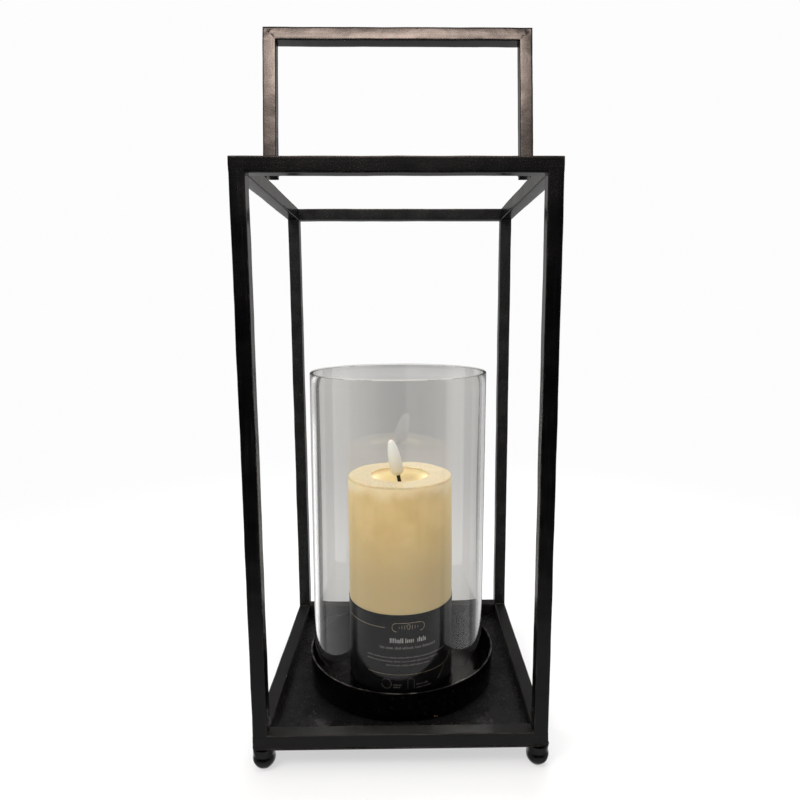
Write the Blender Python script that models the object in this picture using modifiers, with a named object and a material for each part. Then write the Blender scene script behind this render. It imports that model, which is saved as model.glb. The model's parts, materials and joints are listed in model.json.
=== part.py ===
"""A hurricane candle lantern: a square bar frame on ball feet with a swing handle, a round dish,
an open glass cylinder and a battery candle whose flame bulb stands on a wick.

Metres, +Z up, front towards -Y. The origin is the centre of the footprint, on the floor."""

import math

import bmesh
import bpy
from mathutils import Matrix, Vector

# ---------------------------------------------------------------- driving dimensions (metres)
MM = 0.001
WELD_GAP = 0.05 * MM           # left between pieces that are welded or pressed together
REST_GAP = 0.1 * MM            # left under a piece that only stands on another
ROUND_STEPS = 48               # facets round a large turned piece
SMALL_STEPS = 24               # facets round a small turned piece

FRAME_WIDTH = 180 * MM         # outside to outside, both ways
FRAME_HEIGHT = 345.6 * MM      # underside of the lower ring to the top of the upper ring
BAR = 8.8 * MM                 # square bar of frame and handle
BAR_EDGE = 0.6 * MM            # rounding of the bar's long edges
FOOT_HEIGHT = 13.9 * MM
PLATE_THICKNESS = 1 * MM
PLATE_EDGE = 0.2 * MM          # rounding of the sheet's edges
FRAME_Z = FOOT_HEIGHT + PLATE_THICKNESS
FRAME_TOP = FRAME_Z + FRAME_HEIGHT

FOOT_BALL = 14.2 * MM          # diameter
FOOT_FLAT = 5 * MM             # diameter of the worn flat under the ball
FOOT_NECK = 13.4 * MM          # diameter
FOOT_CENTRE = 84.6 * MM        # from the middle of the lantern, both ways

DISH_OUTSIDE = 134 * MM
DISH_HEIGHT = 20.3 * MM
DISH_SHEET = 1.2 * MM
DISH_CORNER = 2.5 * MM         # outer bend radius between floor and wall

GLASS_OUTSIDE = 123 * MM
GLASS_WALL = 2 * MM
GLASS_TOP = FRAME_Z + 223 * MM
GLASS_X = -1.2 * MM            # the loose glass stands a little off centre

CANDLE_OUTSIDE = 75 * MM
CANDLE_TOP = FRAME_Z + 148.7 * MM
CANDLE_X = -0.6 * MM           # the loose candle stands a little off centre
WAX_ROUND = 1.2 * MM           # rounding of the wax's top rim
WAX_FOOT_ROUND = 0.6 * MM
WAX_BORE = 66 * MM             # hollow underside
WAX_BORE_TOP = 92 * MM         # height of the hollow above the candle's foot
WELL_WIDTH = 41.5 * MM
WELL_DEPTH = 8 * MM
WELL_LIP = 0.5 * MM            # chamfer between the well and the top
LABEL_HEIGHT = 58 * MM
LABEL_PAPER = 0.35 * MM
LABEL_LIFT = 0.3 * MM          # lower edge above the candle's foot

HANDLE_PIVOT_UP = 11 * MM      # hinge axis above the frame's top
HANDLE_TAIL = 4 * MM           # leg below the hinge axis
HANDLE_REACH = 95 * MM         # hinge axis to the handle's outer face
HANDLE_LEAN = math.radians(8.2)  # the handle rests leaning backwards
TAB_THICKNESS = 2.2 * MM
TAB_WIDTH = 13 * MM
TAB_LAP = 5.5 * MM             # how far the lug reaches down the side rail it is welded to
RIVET = 3.5 * MM               # shank diameter
RIVET_HOLE = 3.7 * MM
RIVET_HEAD = 6.6 * MM
RIVET_HEAD_RISE = 1.7 * MM

FLAME_LEAN = math.radians(14)  # the wick rests bent to the left
FLAME_LENGTH = 26.2 * MM
FLAME_WIDTH = 9.4 * MM
FLAME_WALL = 0.9 * MM
FLAME_FROM_PIVOT = 6.4 * MM    # wick pivot to the bottom of the bulb
WICK = 2.8 * MM                # diameter
WICK_INTO_BULB = 2.2 * MM
LED = 2.6 * MM                 # diameter
LED_SHOULDER = 2.4 * MM        # height at which its dome starts
SOCKET = 9 * MM                # diameter of the plug in the well's floor
SOCKET_HEIGHT = 9 * MM
SOCKET_BORE = 2.5 * MM         # diameter, for the two wires
SOCKET_EDGE = 0.45 * MM
SOCKET_FLARE = 0.6 * MM        # wider mouth, so that the wick can lean

CELL = 14.2 * MM               # AA cell diameter
CELL_LENGTH = 49.2 * MM        # without its button
CELL_BUTTON = 5.4 * MM         # diameter
BUTTON_RISE = 1 * MM
CELL_PITCH = 15.2 * MM         # between the two cells' axes
CELL_EDGE = 0.5 * MM           # rounding of the can's ends
SPRING_WIRE = 0.7 * MM         # diameter
SPRING_WIDE = 4.2 * MM         # radius of the coil at the bay's ceiling
SPRING_NARROW = 2.8 * MM       # radius of the coil on the cell
CUP_BRIM = 5 * MM              # radius of the pressed cup's brim
CUP_SHEET = 0.5 * MM
CUP_MOUTH = 3.2 * MM
CUP_FOOT = 2.6 * MM
HOUSING_FOOT = 0.8 * MM        # underside of the housing above the wax's foot
HOUSING_DISC = 4 * MM
HOUSING_WALL = 1.5 * MM
BAY_SIZE = Vector((31 * MM, 16 * MM, 56 * MM))
COVER_SIZE = Vector((36 * MM, 22 * MM, 1.6 * MM))
COVER_TRAVEL = 5 * MM
COVER_TONGUE = 1.2 * MM
TONGUE_INSET = 1 * MM          # tongue ends short of the cover's ends
GRIP_GROOVE = Vector((12 * MM, 0.7 * MM, 0.8 * MM))
GRIP_PITCH = 1.6 * MM
GRIP_START = 3 * MM            # first grip groove from the cover's front end
BRIDGE_WIDTH = 5 * MM          # narrow enough to stay in the bay while the cover slides
BRIDGE_SHEET = 0.4 * MM
BRIDGE_LAP = 4 * MM            # strip beyond each cell's axis
SLIDE_CLEARANCE = 0.25 * MM
SWITCH_KNOB = Vector((4 * MM, 3 * MM))
SWITCH_FLANGE = Vector((10 * MM, 5.4 * MM, 1.2 * MM))
SWITCH_RECESS = 0.2 * MM       # knob's face above the housing's underside
SWITCH_EDGE = 0.25 * MM
SWITCH_TRAVEL = 1.6 * MM       # each way from the middle
SWITCH_Y = -22 * MM
BOARD = Vector((26 * MM, 15 * MM, 1.2 * MM))
SCREW_INSET = 3 * MM           # board screw from the board's end
SCREW_HOLE = 2.3 * MM          # diameter
SCREW_HEAD = 3.8 * MM          # diameter
SCREW_HEAD_RISE = 1.1 * MM
SCREW_HEAD_EDGE = 0.4 * MM
SCREW_SHANK = 2 * MM           # diameter
LEAD_WIRE = 0.9 * MM           # diameter over its insulation

# ---------------------------------------------------------------- derived places
PIVOT = Vector((0, 0, FRAME_TOP + HANDLE_PIVOT_UP))
DISH_Z = FRAME_Z + REST_GAP
DISH_FLOOR = DISH_Z + DISH_SHEET
GLASS_Z = DISH_FLOOR + REST_GAP
CANDLE_Z = DISH_FLOOR + REST_GAP
WELL_FLOOR = CANDLE_TOP - WELL_DEPTH
WICK_PIVOT = Vector((CANDLE_X, 0, WELL_FLOOR + 0.4 * MM))
HOUSING_Z = CANDLE_Z + HOUSING_FOOT
COVER_Z = HOUSING_Z + 0.2 * MM
BAY_FLOOR = COVER_Z + COVER_SIZE.z + 0.9 * MM
BAY_TOP = BAY_FLOOR + BAY_SIZE.z
HOUSING_TOP = BAY_TOP + HOUSING_WALL


# ---------------------------------------------------------------- helpers
def start_empty():
    """Removes whatever the scene holds and gives the two collections of the model."""
    for old in list(bpy.data.objects):
        bpy.data.objects.remove(old)
    made = []
    for name in ("hurricane_lantern", "cutters"):
        collection = bpy.data.collections.new(name)
        bpy.context.scene.collection.children.link(collection)
        made.append(collection)
    return made


LANTERN, CUTTERS = start_empty()


def make_material(name, colour, roughness, metallic=0.0, transmission=0.0):
    material = bpy.data.materials.new(name)
    material.use_nodes = True
    shader = material.node_tree.nodes["Principled BSDF"]
    shader.inputs["Base Color"].default_value = (*colour, 1)
    shader.inputs["Roughness"].default_value = roughness
    shader.inputs["Metallic"].default_value = metallic
    shader.inputs["Transmission Weight"].default_value = transmission
    return material


BLACK_PAINT = make_material("black_paint", (0.018, 0.017, 0.017), 0.5, 0.1)
GLASS = make_material("clear_glass", (0.9, 0.92, 0.92), 0.02, 0.0, 1.0)
WAX = make_material("ivory_wax", (0.80, 0.63, 0.34), 0.45)
LABEL = make_material("label_paper", (0.03, 0.03, 0.033), 0.6)
MILKY = make_material("milky_diffuser", (0.86, 0.84, 0.80), 0.35)
WICK_BLACK = make_material("wick_black", (0.01, 0.01, 0.01), 0.8)
WHITE_PLASTIC = make_material("white_plastic", (0.75, 0.74, 0.70), 0.45)
CELL_JACKET = make_material("cell_jacket", (0.05, 0.10, 0.16), 0.3, 0.3)
SPRING_STEEL = make_material("nickel_steel", (0.6, 0.6, 0.58), 0.3, 1.0)
BOARD_GREEN = make_material("board_green", (0.03, 0.16, 0.08), 0.4)
LED_EPOXY = make_material("led_epoxy", (0.9, 0.85, 0.6), 0.15)
WIRE_RED = make_material("wire_red", (0.5, 0.03, 0.03), 0.5)
WIRE_BLACK = make_material("wire_black", (0.02, 0.02, 0.02), 0.5)


def place(name, mesh, material, location=(0, 0, 0), turn=None, parent=None, collection=LANTERN):
    """Makes the object NAME from a mesh, with its origin at location."""
    made = bpy.data.objects.new(name, mesh)
    collection.objects.link(made)
    made.location = location
    if turn is not None:
        made.rotation_euler = turn.to_euler()
    made.parent = parent
    if material is not None and not mesh.materials:
        mesh.materials.append(material)
    return made


def joint_empty(name, location, turn=None, parent=None):
    """An empty on a joint's axis, which carries the pieces that move with it."""
    made = bpy.data.objects.new(name, None)
    made.empty_display_size = 10 * MM
    made.location = location
    if turn is not None:
        made.rotation_euler = turn.to_euler()
    made.parent = parent
    LANTERN.objects.link(made)
    return made


def mesh_from(name, shape):
    """A mesh from a bmesh, with its normals facing out."""
    bmesh.ops.recalc_face_normals(shape, faces=shape.faces)
    mesh = bpy.data.meshes.new(name)
    shape.to_mesh(mesh)
    shape.free()
    return mesh


def smooth(mesh, degrees=35):
    mesh.shade_smooth()
    mesh.set_sharp_from_angle(angle=math.radians(degrees))


def box_mesh(name, size, centre=(0, 0, 0), edge=0.0):
    """A block, with its edges rounded if edge is given."""
    shape = bmesh.new()
    bmesh.ops.create_cube(shape, size=1)
    bmesh.ops.scale(shape, vec=size, verts=shape.verts)
    bmesh.ops.translate(shape, vec=centre, verts=shape.verts)
    if edge:
        bmesh.ops.bevel(shape, geom=shape.edges, offset=edge, segments=2, profile=0.5, affect="EDGES")
    return mesh_from(name, shape)


def bar_mesh(name, length, mitre_low, mitre_high):
    """A square bar along X with rounded long edges. A mitre of 1 cuts that end at 45 degrees, so that
    the bar is longest on its -Y side; 0 leaves it square."""
    shape = bmesh.new()
    bmesh.ops.create_cube(shape, size=1)
    bmesh.ops.scale(shape, vec=(length, BAR, BAR), verts=shape.verts)
    long_edges = [e for e in shape.edges if abs(e.verts[0].co.x - e.verts[1].co.x) > length / 2]
    bmesh.ops.bevel(shape, geom=long_edges, offset=BAR_EDGE, segments=3, profile=0.5, affect="EDGES")
    for vert in shape.verts:
        inward = vert.co.y + BAR / 2
        if vert.co.x > 0:
            vert.co.x -= mitre_high * inward + WELD_GAP
        else:
            vert.co.x += mitre_low * inward + WELD_GAP
    mesh = mesh_from(name, shape)
    smooth(mesh)
    return mesh


def turned(name, outline, material, location, steps=ROUND_STEPS, closed=True, turn=None, parent=None,
           collection=LANTERN):
    """A piece turned about Z from (radius, height) points that run down its outer side."""
    mesh = bpy.data.meshes.new(name)
    points = [(radius, 0, height) for radius, height in outline]
    edges = [(i, i + 1) for i in range(len(points) - 1)]
    if closed:
        edges.append((len(points) - 1, 0))
    mesh.from_pydata(points, edges, [])
    made = place(name, mesh, material, location, turn, parent, collection)
    screw = made.modifiers.new("turn", "SCREW")
    screw.axis = "Z"
    screw.steps = steps
    screw.render_steps = steps
    screw.use_merge_vertices = True
    screw.merge_threshold = 0.00001
    screw.use_smooth_shade = True
    return made


def arc(centre, radius, start, end, count):
    """(radius, height) points along an arc, angles in degrees from the outward direction."""
    points = []
    for i in range(count + 1):
        angle = math.radians(start + (end - start) * i / count)
        points.append((centre[0] + radius * math.cos(angle), centre[1] + radius * math.sin(angle)))
    return points


def rod(name, radius, length, material, location, turn=None, parent=None, steps=SMALL_STEPS,
        collection=LANTERN):
    """A cylinder along its own Z, centred on location."""
    shape = bmesh.new()
    bmesh.ops.create_cone(shape, cap_ends=True, segments=steps, radius1=radius, radius2=radius, depth=length)
    mesh = mesh_from(name, shape)
    smooth(mesh)
    return place(name, mesh, material, location, turn, parent, collection)


def cut(target, cutter, operation="DIFFERENCE"):
    """Cuts target with cutter, or joins the cutter on."""
    cutter.hide_render = True
    cutter.display_type = "WIRE"
    boolean = target.modifiers.new(cutter.name, "BOOLEAN")
    boolean.operation = operation
    boolean.solver = "EXACT"
    boolean.object = cutter


def block_cutter(name, size, centre, parent=None):
    return place(name, box_mesh(name, size), None, centre, None, parent, CUTTERS)


def wire(name, points, radius, material, parent=None):
    """A wire along straight stretches between the points."""
    curve = bpy.data.curves.new(name, "CURVE")
    curve.dimensions = "3D"
    curve.bevel_depth = radius
    curve.bevel_resolution = 1
    curve.use_fill_caps = True
    spline = curve.splines.new("POLY")
    spline.points.add(len(points) - 1)
    for target, point in zip(spline.points, points):
        target.co = (*point, 1)
    made = bpy.data.objects.new(name, curve)
    curve.materials.append(material)
    made.parent = parent
    LANTERN.objects.link(made)
    return made


ALONG_X = Matrix.Rotation(math.pi / 2, 3, "Y")
UPRIGHT = Matrix.Rotation(-math.pi / 2, 3, "Y")
CORNERS = {"front_left": (-1, -1), "front_right": (1, -1), "back_left": (-1, 1), "back_right": (1, 1)}
SIDES = {"front": 0, "right": 90, "back": 180, "left": 270}


# ---------------------------------------------------------------- frame
def build_posts():
    mesh = bar_mesh("post", FRAME_HEIGHT - 2 * BAR, 0, 0)
    middle = FRAME_Z + FRAME_HEIGHT / 2
    reach = (FRAME_WIDTH - BAR) / 2
    for corner, (side_x, side_y) in CORNERS.items():
        place(f"post_{corner}", mesh, BLACK_PAINT, (side_x * reach, side_y * reach, middle), UPRIGHT)


def build_rings():
    mesh = bar_mesh("rail", FRAME_WIDTH, 1, 1)
    reach = (FRAME_WIDTH - BAR) / 2
    for ring, height in (("bottom", FRAME_Z + BAR / 2), ("top", FRAME_TOP - BAR / 2)):
        for side, angle in SIDES.items():
            turn = Matrix.Rotation(math.radians(angle), 3, "Z")
            centre = turn @ Vector((0, -reach, height))
            place(f"rail_{ring}_{side}", mesh, BLACK_PAINT, centre, turn)


def build_plate():
    size = Vector((FRAME_WIDTH, FRAME_WIDTH, PLATE_THICKNESS - WELD_GAP))
    centre = (0, 0, FRAME_Z - WELD_GAP - size.z / 2)
    place("base_plate", box_mesh("base_plate", size, edge=PLATE_EDGE), BLACK_PAINT, centre)


def build_feet():
    """Balls with a short neck, worn flat underneath."""
    radius = FOOT_BALL / 2
    neck = FOOT_NECK / 2
    flat = FOOT_FLAT / 2
    low = math.degrees(math.acos(flat / radius))
    high = math.degrees(math.acos(neck / radius))
    centre = radius * math.sin(math.radians(low))
    outline = [(0, FOOT_HEIGHT - WELD_GAP), (neck, FOOT_HEIGHT - WELD_GAP)]
    outline += arc((0, centre), radius, high, -low, 9)
    outline.append((0, 0))
    for corner, (side_x, side_y) in CORNERS.items():
        place_at = (side_x * FOOT_CENTRE, side_y * FOOT_CENTRE, 0)
        turned(f"foot_{corner}", outline, BLACK_PAINT, place_at, SMALL_STEPS, closed=False)


def build_dish():
    """A pan with a bent corner and a rolled-looking top edge."""
    outer = DISH_OUTSIDE / 2
    inner = outer - DISH_SHEET
    inner_bend = DISH_CORNER - DISH_SHEET
    outline = arc((outer - DISH_SHEET / 2, DISH_HEIGHT - DISH_SHEET / 2), DISH_SHEET / 2, 180, 0, 3)
    outline += arc((outer - DISH_CORNER, DISH_CORNER), DISH_CORNER, 0, -90, 3)
    outline += [(0, 0), (0, DISH_SHEET)]
    outline += arc((inner - inner_bend, DISH_CORNER), inner_bend, -90, 0, 3)
    turned("candle_dish", outline, BLACK_PAINT, (0, 0, DISH_Z))


def build_hinge_tabs(side_name, side):
    """An upright lug on the outside of the side rail, and the rivet through it and the handle's leg."""
    tab_x = side * (FRAME_WIDTH / 2 + WELD_GAP + TAB_THICKNESS / 2)
    low = FRAME_TOP - TAB_LAP
    shape = bmesh.new()
    bmesh.ops.create_cone(shape, cap_ends=True, segments=SMALL_STEPS, radius1=TAB_WIDTH / 2,
                          radius2=TAB_WIDTH / 2, depth=TAB_THICKNESS)
    bmesh.ops.rotate(shape, matrix=ALONG_X, verts=shape.verts)
    for vert in shape.verts:
        if vert.co.z < -0.01 * MM:
            vert.co.y = math.copysign(TAB_WIDTH / 2, vert.co.y) if abs(vert.co.y) > 0.01 * MM else 0
            vert.co.z = low - PIVOT.z
    bmesh.ops.remove_doubles(shape, verts=shape.verts, dist=0.001 * MM)
    bmesh.ops.dissolve_limit(shape, angle_limit=math.radians(0.5), verts=shape.verts, edges=shape.edges)
    tab = place(f"hinge_tab_{side_name}", mesh_from("hinge_tab", shape), BLACK_PAINT, (tab_x, 0, PIVOT.z))
    hole = rod(f"tab_hole_{side_name}", RIVET_HOLE / 2, 4 * TAB_THICKNESS, None, (tab_x, 0, PIVOT.z), ALONG_X,
               collection=CUTTERS)
    cut(tab, hole)

    reach = BAR + TAB_THICKNESS + 2 * WELD_GAP
    outline = domed_rivet(reach + REST_GAP)
    turn = Matrix.Rotation(side * math.pi / 2, 3, "Y")
    start = Vector((side * (FRAME_WIDTH / 2 - BAR - REST_GAP), 0, PIVOT.z))
    turned(f"hinge_rivet_{side_name}", outline, BLACK_PAINT, start, SMALL_STEPS, closed=False, turn=turn)


def domed_rivet(grip):
    """Outline of a rivet along +Z whose grip starts at 0: a domed head at each end."""
    head = RIVET_HEAD / 2
    shank = RIVET / 2
    outline = [(0, grip + RIVET_HEAD_RISE)]
    outline += [(head * math.sin(math.radians(a)), grip + RIVET_HEAD_RISE * math.cos(math.radians(a)))
                for a in range(18, 91, 18)]
    outline += [(shank, grip), (shank, 0)]
    outline += [(head * math.sin(math.radians(a)), -RIVET_HEAD_RISE * math.cos(math.radians(a)))
                for a in range(90, 17, -18)]
    outline.append((0, -RIVET_HEAD_RISE))
    return outline


# ---------------------------------------------------------------- handle
def build_handle():
    """Two legs and a top bar, mitred, leaning back about the hinge axis."""
    hinge = joint_empty("handle_hinge", PIVOT, Matrix.Rotation(-HANDLE_LEAN, 3, "X"))
    reach = (FRAME_WIDTH - BAR) / 2
    top = bar_mesh("handle_top_bar", FRAME_WIDTH, 1, 1)
    # The bar's -Y side is its long side, and it has to face up.
    place("handle_top_bar", top, BLACK_PAINT, (0, 0, HANDLE_REACH - BAR / 2),
          Matrix.Rotation(-math.pi / 2, 3, "X"), hinge)
    length = HANDLE_REACH + HANDLE_TAIL
    middle = (HANDLE_REACH - HANDLE_TAIL) / 2
    for side_name, side in (("left", -1), ("right", 1)):
        leg = bar_mesh(f"handle_leg_{side_name}", length, 0, 1)
        # Stands the bar up with its long side outwards.
        facing = Matrix.Rotation(0 if side > 0 else math.pi, 3, "Z")
        turn = facing @ UPRIGHT @ Matrix.Rotation(math.pi / 2, 3, "X")
        made = place(f"handle_leg_{side_name}", leg, BLACK_PAINT, (side * reach, 0, middle), turn, hinge)
        hole = rod(f"leg_hole_{side_name}", RIVET_HOLE / 2, 2 * BAR, None, (side * reach, 0, 0), ALONG_X,
                   hinge, collection=CUTTERS)
        cut(made, hole)


# ---------------------------------------------------------------- glass
def build_glass():
    """An open tube with fire-polished rims."""
    outer = GLASS_OUTSIDE / 2
    edge = GLASS_WALL / 2
    middle = outer - edge
    height = GLASS_TOP - GLASS_Z
    outline = arc((middle, height - edge), edge, 180, 0, 3)
    outline += arc((middle, edge), edge, 0, -180, 3)
    turned("glass_cylinder", outline, GLASS, (GLASS_X, 0, GLASS_Z))


# ---------------------------------------------------------------- candle
def build_wax():
    """A pillar with a hollow underside, a scooped well on top and a hole for the wick's plug."""
    outer = CANDLE_OUTSIDE / 2
    bore = WAX_BORE / 2
    well = WELL_WIDTH / 2
    hole = SOCKET / 2 + WELD_GAP
    height = CANDLE_TOP - CANDLE_Z
    outline = [(well + WELL_LIP, height)]
    outline += arc((outer - WAX_ROUND, height - WAX_ROUND), WAX_ROUND, 90, 0, 3)
    outline += arc((outer - WAX_FOOT_ROUND, WAX_FOOT_ROUND), WAX_FOOT_ROUND, 0, -90, 2)
    outline += [(bore, 0), (bore, WAX_BORE_TOP), (hole, WAX_BORE_TOP), (hole, height - WELL_DEPTH)]
    outline += well_outline(height, hole, well)
    turned("wax_shell", outline, WAX, (CANDLE_X, 0, CANDLE_Z))


def well_outline(height, start, well):
    """The well from its floor out to its rim: flat in the middle and steep at the side."""
    count = 6
    steepness = 2.2
    lip_drop = 0.35 * MM
    points = []
    for i in range(1, count + 1):
        out = math.sin(i / count * math.pi / 2)
        rise = WELL_DEPTH * (1 - math.sqrt(max(0.0, 1 - out ** steepness)))
        points.append((start + (well - start) * out, height - WELL_DEPTH + min(rise, WELL_DEPTH - lip_drop)))
    return points


def build_label():
    inner = CANDLE_OUTSIDE / 2 + WELD_GAP
    outer = inner + LABEL_PAPER
    outline = [(inner, LABEL_HEIGHT), (outer, LABEL_HEIGHT), (outer, LABEL_LIFT), (inner, LABEL_LIFT)]
    turned("paper_label", outline, LABEL, (CANDLE_X, 0, CANDLE_Z))


def build_housing():
    """A disc in the hollow underside with a tall bay for two cells, a recess for the sliding cover
    and a slot for the switch."""
    overlap = 1 * MM               # how far cutters and joined blocks run past the faces they meet
    radius = WAX_BORE / 2 - REST_GAP
    disc = rod("battery_housing", radius, HOUSING_DISC, WHITE_PLASTIC,
               (CANDLE_X, 0, HOUSING_Z + HOUSING_DISC / 2), steps=ROUND_STEPS)
    tower_size = Vector((BAY_SIZE.x + 2 * HOUSING_WALL, BAY_SIZE.y + 2 * HOUSING_WALL,
                         HOUSING_TOP - HOUSING_Z - overlap))
    tower_centre = (CANDLE_X, 0, HOUSING_TOP - tower_size.z / 2)
    cut(disc, block_cutter("housing_tower", tower_size, tower_centre), "UNION")

    bay_centre = (CANDLE_X, 0, BAY_TOP - BAY_SIZE.z / 2)
    cut(disc, block_cutter("cell_bay", BAY_SIZE, bay_centre))
    throat = Vector((BAY_SIZE.x, BAY_SIZE.y, BAY_FLOOR - HOUSING_Z + 2 * overlap))
    cut(disc, block_cutter("bay_throat", throat, (CANDLE_X, 0, HOUSING_Z + throat.z / 2 - overlap)))

    recess_y = COVER_SIZE.y + COVER_TRAVEL + 2 * SLIDE_CLEARANCE
    recess_height = COVER_Z + COVER_SIZE.z + SLIDE_CLEARANCE - HOUSING_Z + overlap
    recess = Vector((COVER_SIZE.x + 2 * SLIDE_CLEARANCE, recess_y, recess_height))
    recess_centre = (CANDLE_X, COVER_TRAVEL / 2, HOUSING_Z - overlap + recess_height / 2)
    cut(disc, block_cutter("cover_recess", recess, recess_centre))

    groove = Vector((recess.x + 2 * COVER_TONGUE, recess_y, COVER_TONGUE + 2 * SLIDE_CLEARANCE))
    groove_z = COVER_Z + COVER_SIZE.z + SLIDE_CLEARANCE - groove.z / 2
    cut(disc, block_cutter("cover_groove", groove, (CANDLE_X, COVER_TRAVEL / 2, groove_z)))

    slot = Vector((SWITCH_KNOB.x + 2 * SWITCH_TRAVEL + 2 * SLIDE_CLEARANCE,
                   SWITCH_KNOB.y + 2 * SLIDE_CLEARANCE, 3 * HOUSING_DISC))
    cut(disc, block_cutter("switch_slot", slot, (CANDLE_X, SWITCH_Y, HOUSING_Z + HOUSING_DISC / 2)))


def build_cover():
    """The sliding battery cover, with a tongue along each side and grip ribs, and its contact strip."""
    slide = joint_empty("cover_slide", (CANDLE_X, 0, COVER_Z))
    plate = place("battery_cover", box_mesh("battery_cover", COVER_SIZE), WHITE_PLASTIC,
                  (0, 0, COVER_SIZE.z / 2), None, slide)
    tongue = Vector((COVER_SIZE.x + 2 * COVER_TONGUE, COVER_SIZE.y - 2 * TONGUE_INSET, COVER_TONGUE))
    tongue_z = COVER_SIZE.z - tongue.z / 2 - WELD_GAP
    cut(plate, block_cutter("cover_tongues", tongue, (0, 0, tongue_z), slide), "UNION")
    for i in range(4):
        place_at = (0, -COVER_SIZE.y / 2 + GRIP_START + GRIP_PITCH * i, 0)
        cut(plate, block_cutter(f"grip_groove_{i}", GRIP_GROOVE, place_at, slide))

    strip = Vector((CELL_PITCH + 2 * BRIDGE_LAP, BRIDGE_WIDTH, BRIDGE_SHEET))
    centre = (0, 0, COVER_SIZE.z + WELD_GAP + strip.z / 2)
    place("bridge_contact", box_mesh("bridge_contact", strip), SPRING_STEEL, centre, None, slide)


def build_cells():
    """Two AA cells side by side, one upright and one upside down."""
    radius = CELL / 2
    button = CELL_BUTTON / 2
    edge = CELL_EDGE
    outline = [(0, CELL_LENGTH + BUTTON_RISE), (button, CELL_LENGTH + BUTTON_RISE), (button, CELL_LENGTH)]
    outline += arc((radius - edge, CELL_LENGTH - edge), edge, 90, 0, 2)
    outline += arc((radius - edge, edge), edge, 0, -90, 2)
    outline.append((0, 0))
    low = COVER_Z + COVER_SIZE.z + BRIDGE_SHEET + 2 * WELD_GAP + REST_GAP
    high = low + CELL_LENGTH + BUTTON_RISE
    over = Matrix.Rotation(math.pi, 3, "X")
    turned("battery_left", outline, CELL_JACKET, (CANDLE_X - CELL_PITCH / 2, 0, low), SMALL_STEPS, False)
    turned("battery_right", outline, CELL_JACKET, (CANDLE_X + CELL_PITCH / 2, 0, high), SMALL_STEPS, False,
           over)
    return high


def build_contacts(cell_top):
    """A coil spring over one cell and a pressed cup over the other, against the bay's ceiling."""
    room = BAY_TOP - REST_GAP - cell_top - REST_GAP
    turns = 3
    per_turn = 10
    wire_radius = SPRING_WIRE / 2
    points = []
    for i in range(turns * per_turn + 1):
        share = i / (turns * per_turn)
        angle = 2 * math.pi * turns * share
        radius = SPRING_WIDE + (SPRING_NARROW - SPRING_WIDE) * share
        height = BAY_TOP - REST_GAP - wire_radius - (room - 2 * wire_radius) * share
        middle_x = CANDLE_X + CELL_PITCH / 2
        points.append((middle_x + radius * math.cos(angle), radius * math.sin(angle), height))
    wire("spring_contact", points, wire_radius, SPRING_STEEL)

    under_brim = room - CUP_SHEET
    cup = [(0, room), (CUP_BRIM, room), (CUP_BRIM, under_brim), (CUP_MOUTH, under_brim),
           (CUP_FOOT, 0), (0, 0)]
    turned("button_contact", cup, SPRING_STEEL, (CANDLE_X - CELL_PITCH / 2, 0, cell_top + REST_GAP),
           SMALL_STEPS, False)


def build_switch():
    """A knob in its slot, with a flange above that keeps it in."""
    slide = joint_empty("switch_slide", (CANDLE_X, SWITCH_Y, HOUSING_Z))
    knob_z = HOUSING_DISC + REST_GAP
    height = knob_z - SWITCH_RECESS
    mesh = box_mesh("switch_slider", (SWITCH_KNOB.x, SWITCH_KNOB.y, height), edge=SWITCH_EDGE)
    knob = place("switch_slider", mesh, WICK_BLACK, (0, 0, SWITCH_RECESS + height / 2), None, slide)
    bite = 0.02 * MM               # overlap that joins the flange to the knob
    place_at = (0, 0, knob_z + SWITCH_FLANGE.z / 2 - bite)
    cut(knob, block_cutter("switch_flange", SWITCH_FLANGE, place_at, slide), "UNION")


def build_board():
    """The circuit board on the bay's roof, its two screws and the wires up to the wick."""
    low = HOUSING_TOP + REST_GAP
    board = place("circuit_board", box_mesh("circuit_board", BOARD), BOARD_GREEN,
                  (CANDLE_X, 0, low + BOARD.z / 2))
    for side_name, side in (("left", -1), ("right", 1)):
        place_x = CANDLE_X + side * (BOARD.x / 2 - SCREW_INSET)
        hole = rod(f"screw_hole_{side_name}", SCREW_HOLE / 2, 6 * BOARD.z, None, (place_x, 0, low), steps=16,
                   collection=CUTTERS)
        cut(board, hole)
        head = SCREW_HEAD / 2
        shank = SCREW_SHANK / 2
        top = BOARD.z + SCREW_HEAD_RISE
        under = BOARD.z + WELD_GAP
        outline = [(0, top), (head - SCREW_HEAD_EDGE, top), (head, top - SCREW_HEAD_EDGE), (head, under),
                   (shank, under), (shank, 0), (0, 0)]
        turned(f"board_screw_{side_name}", outline, SPRING_STEEL, (place_x, 0, low), 16, False)


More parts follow.
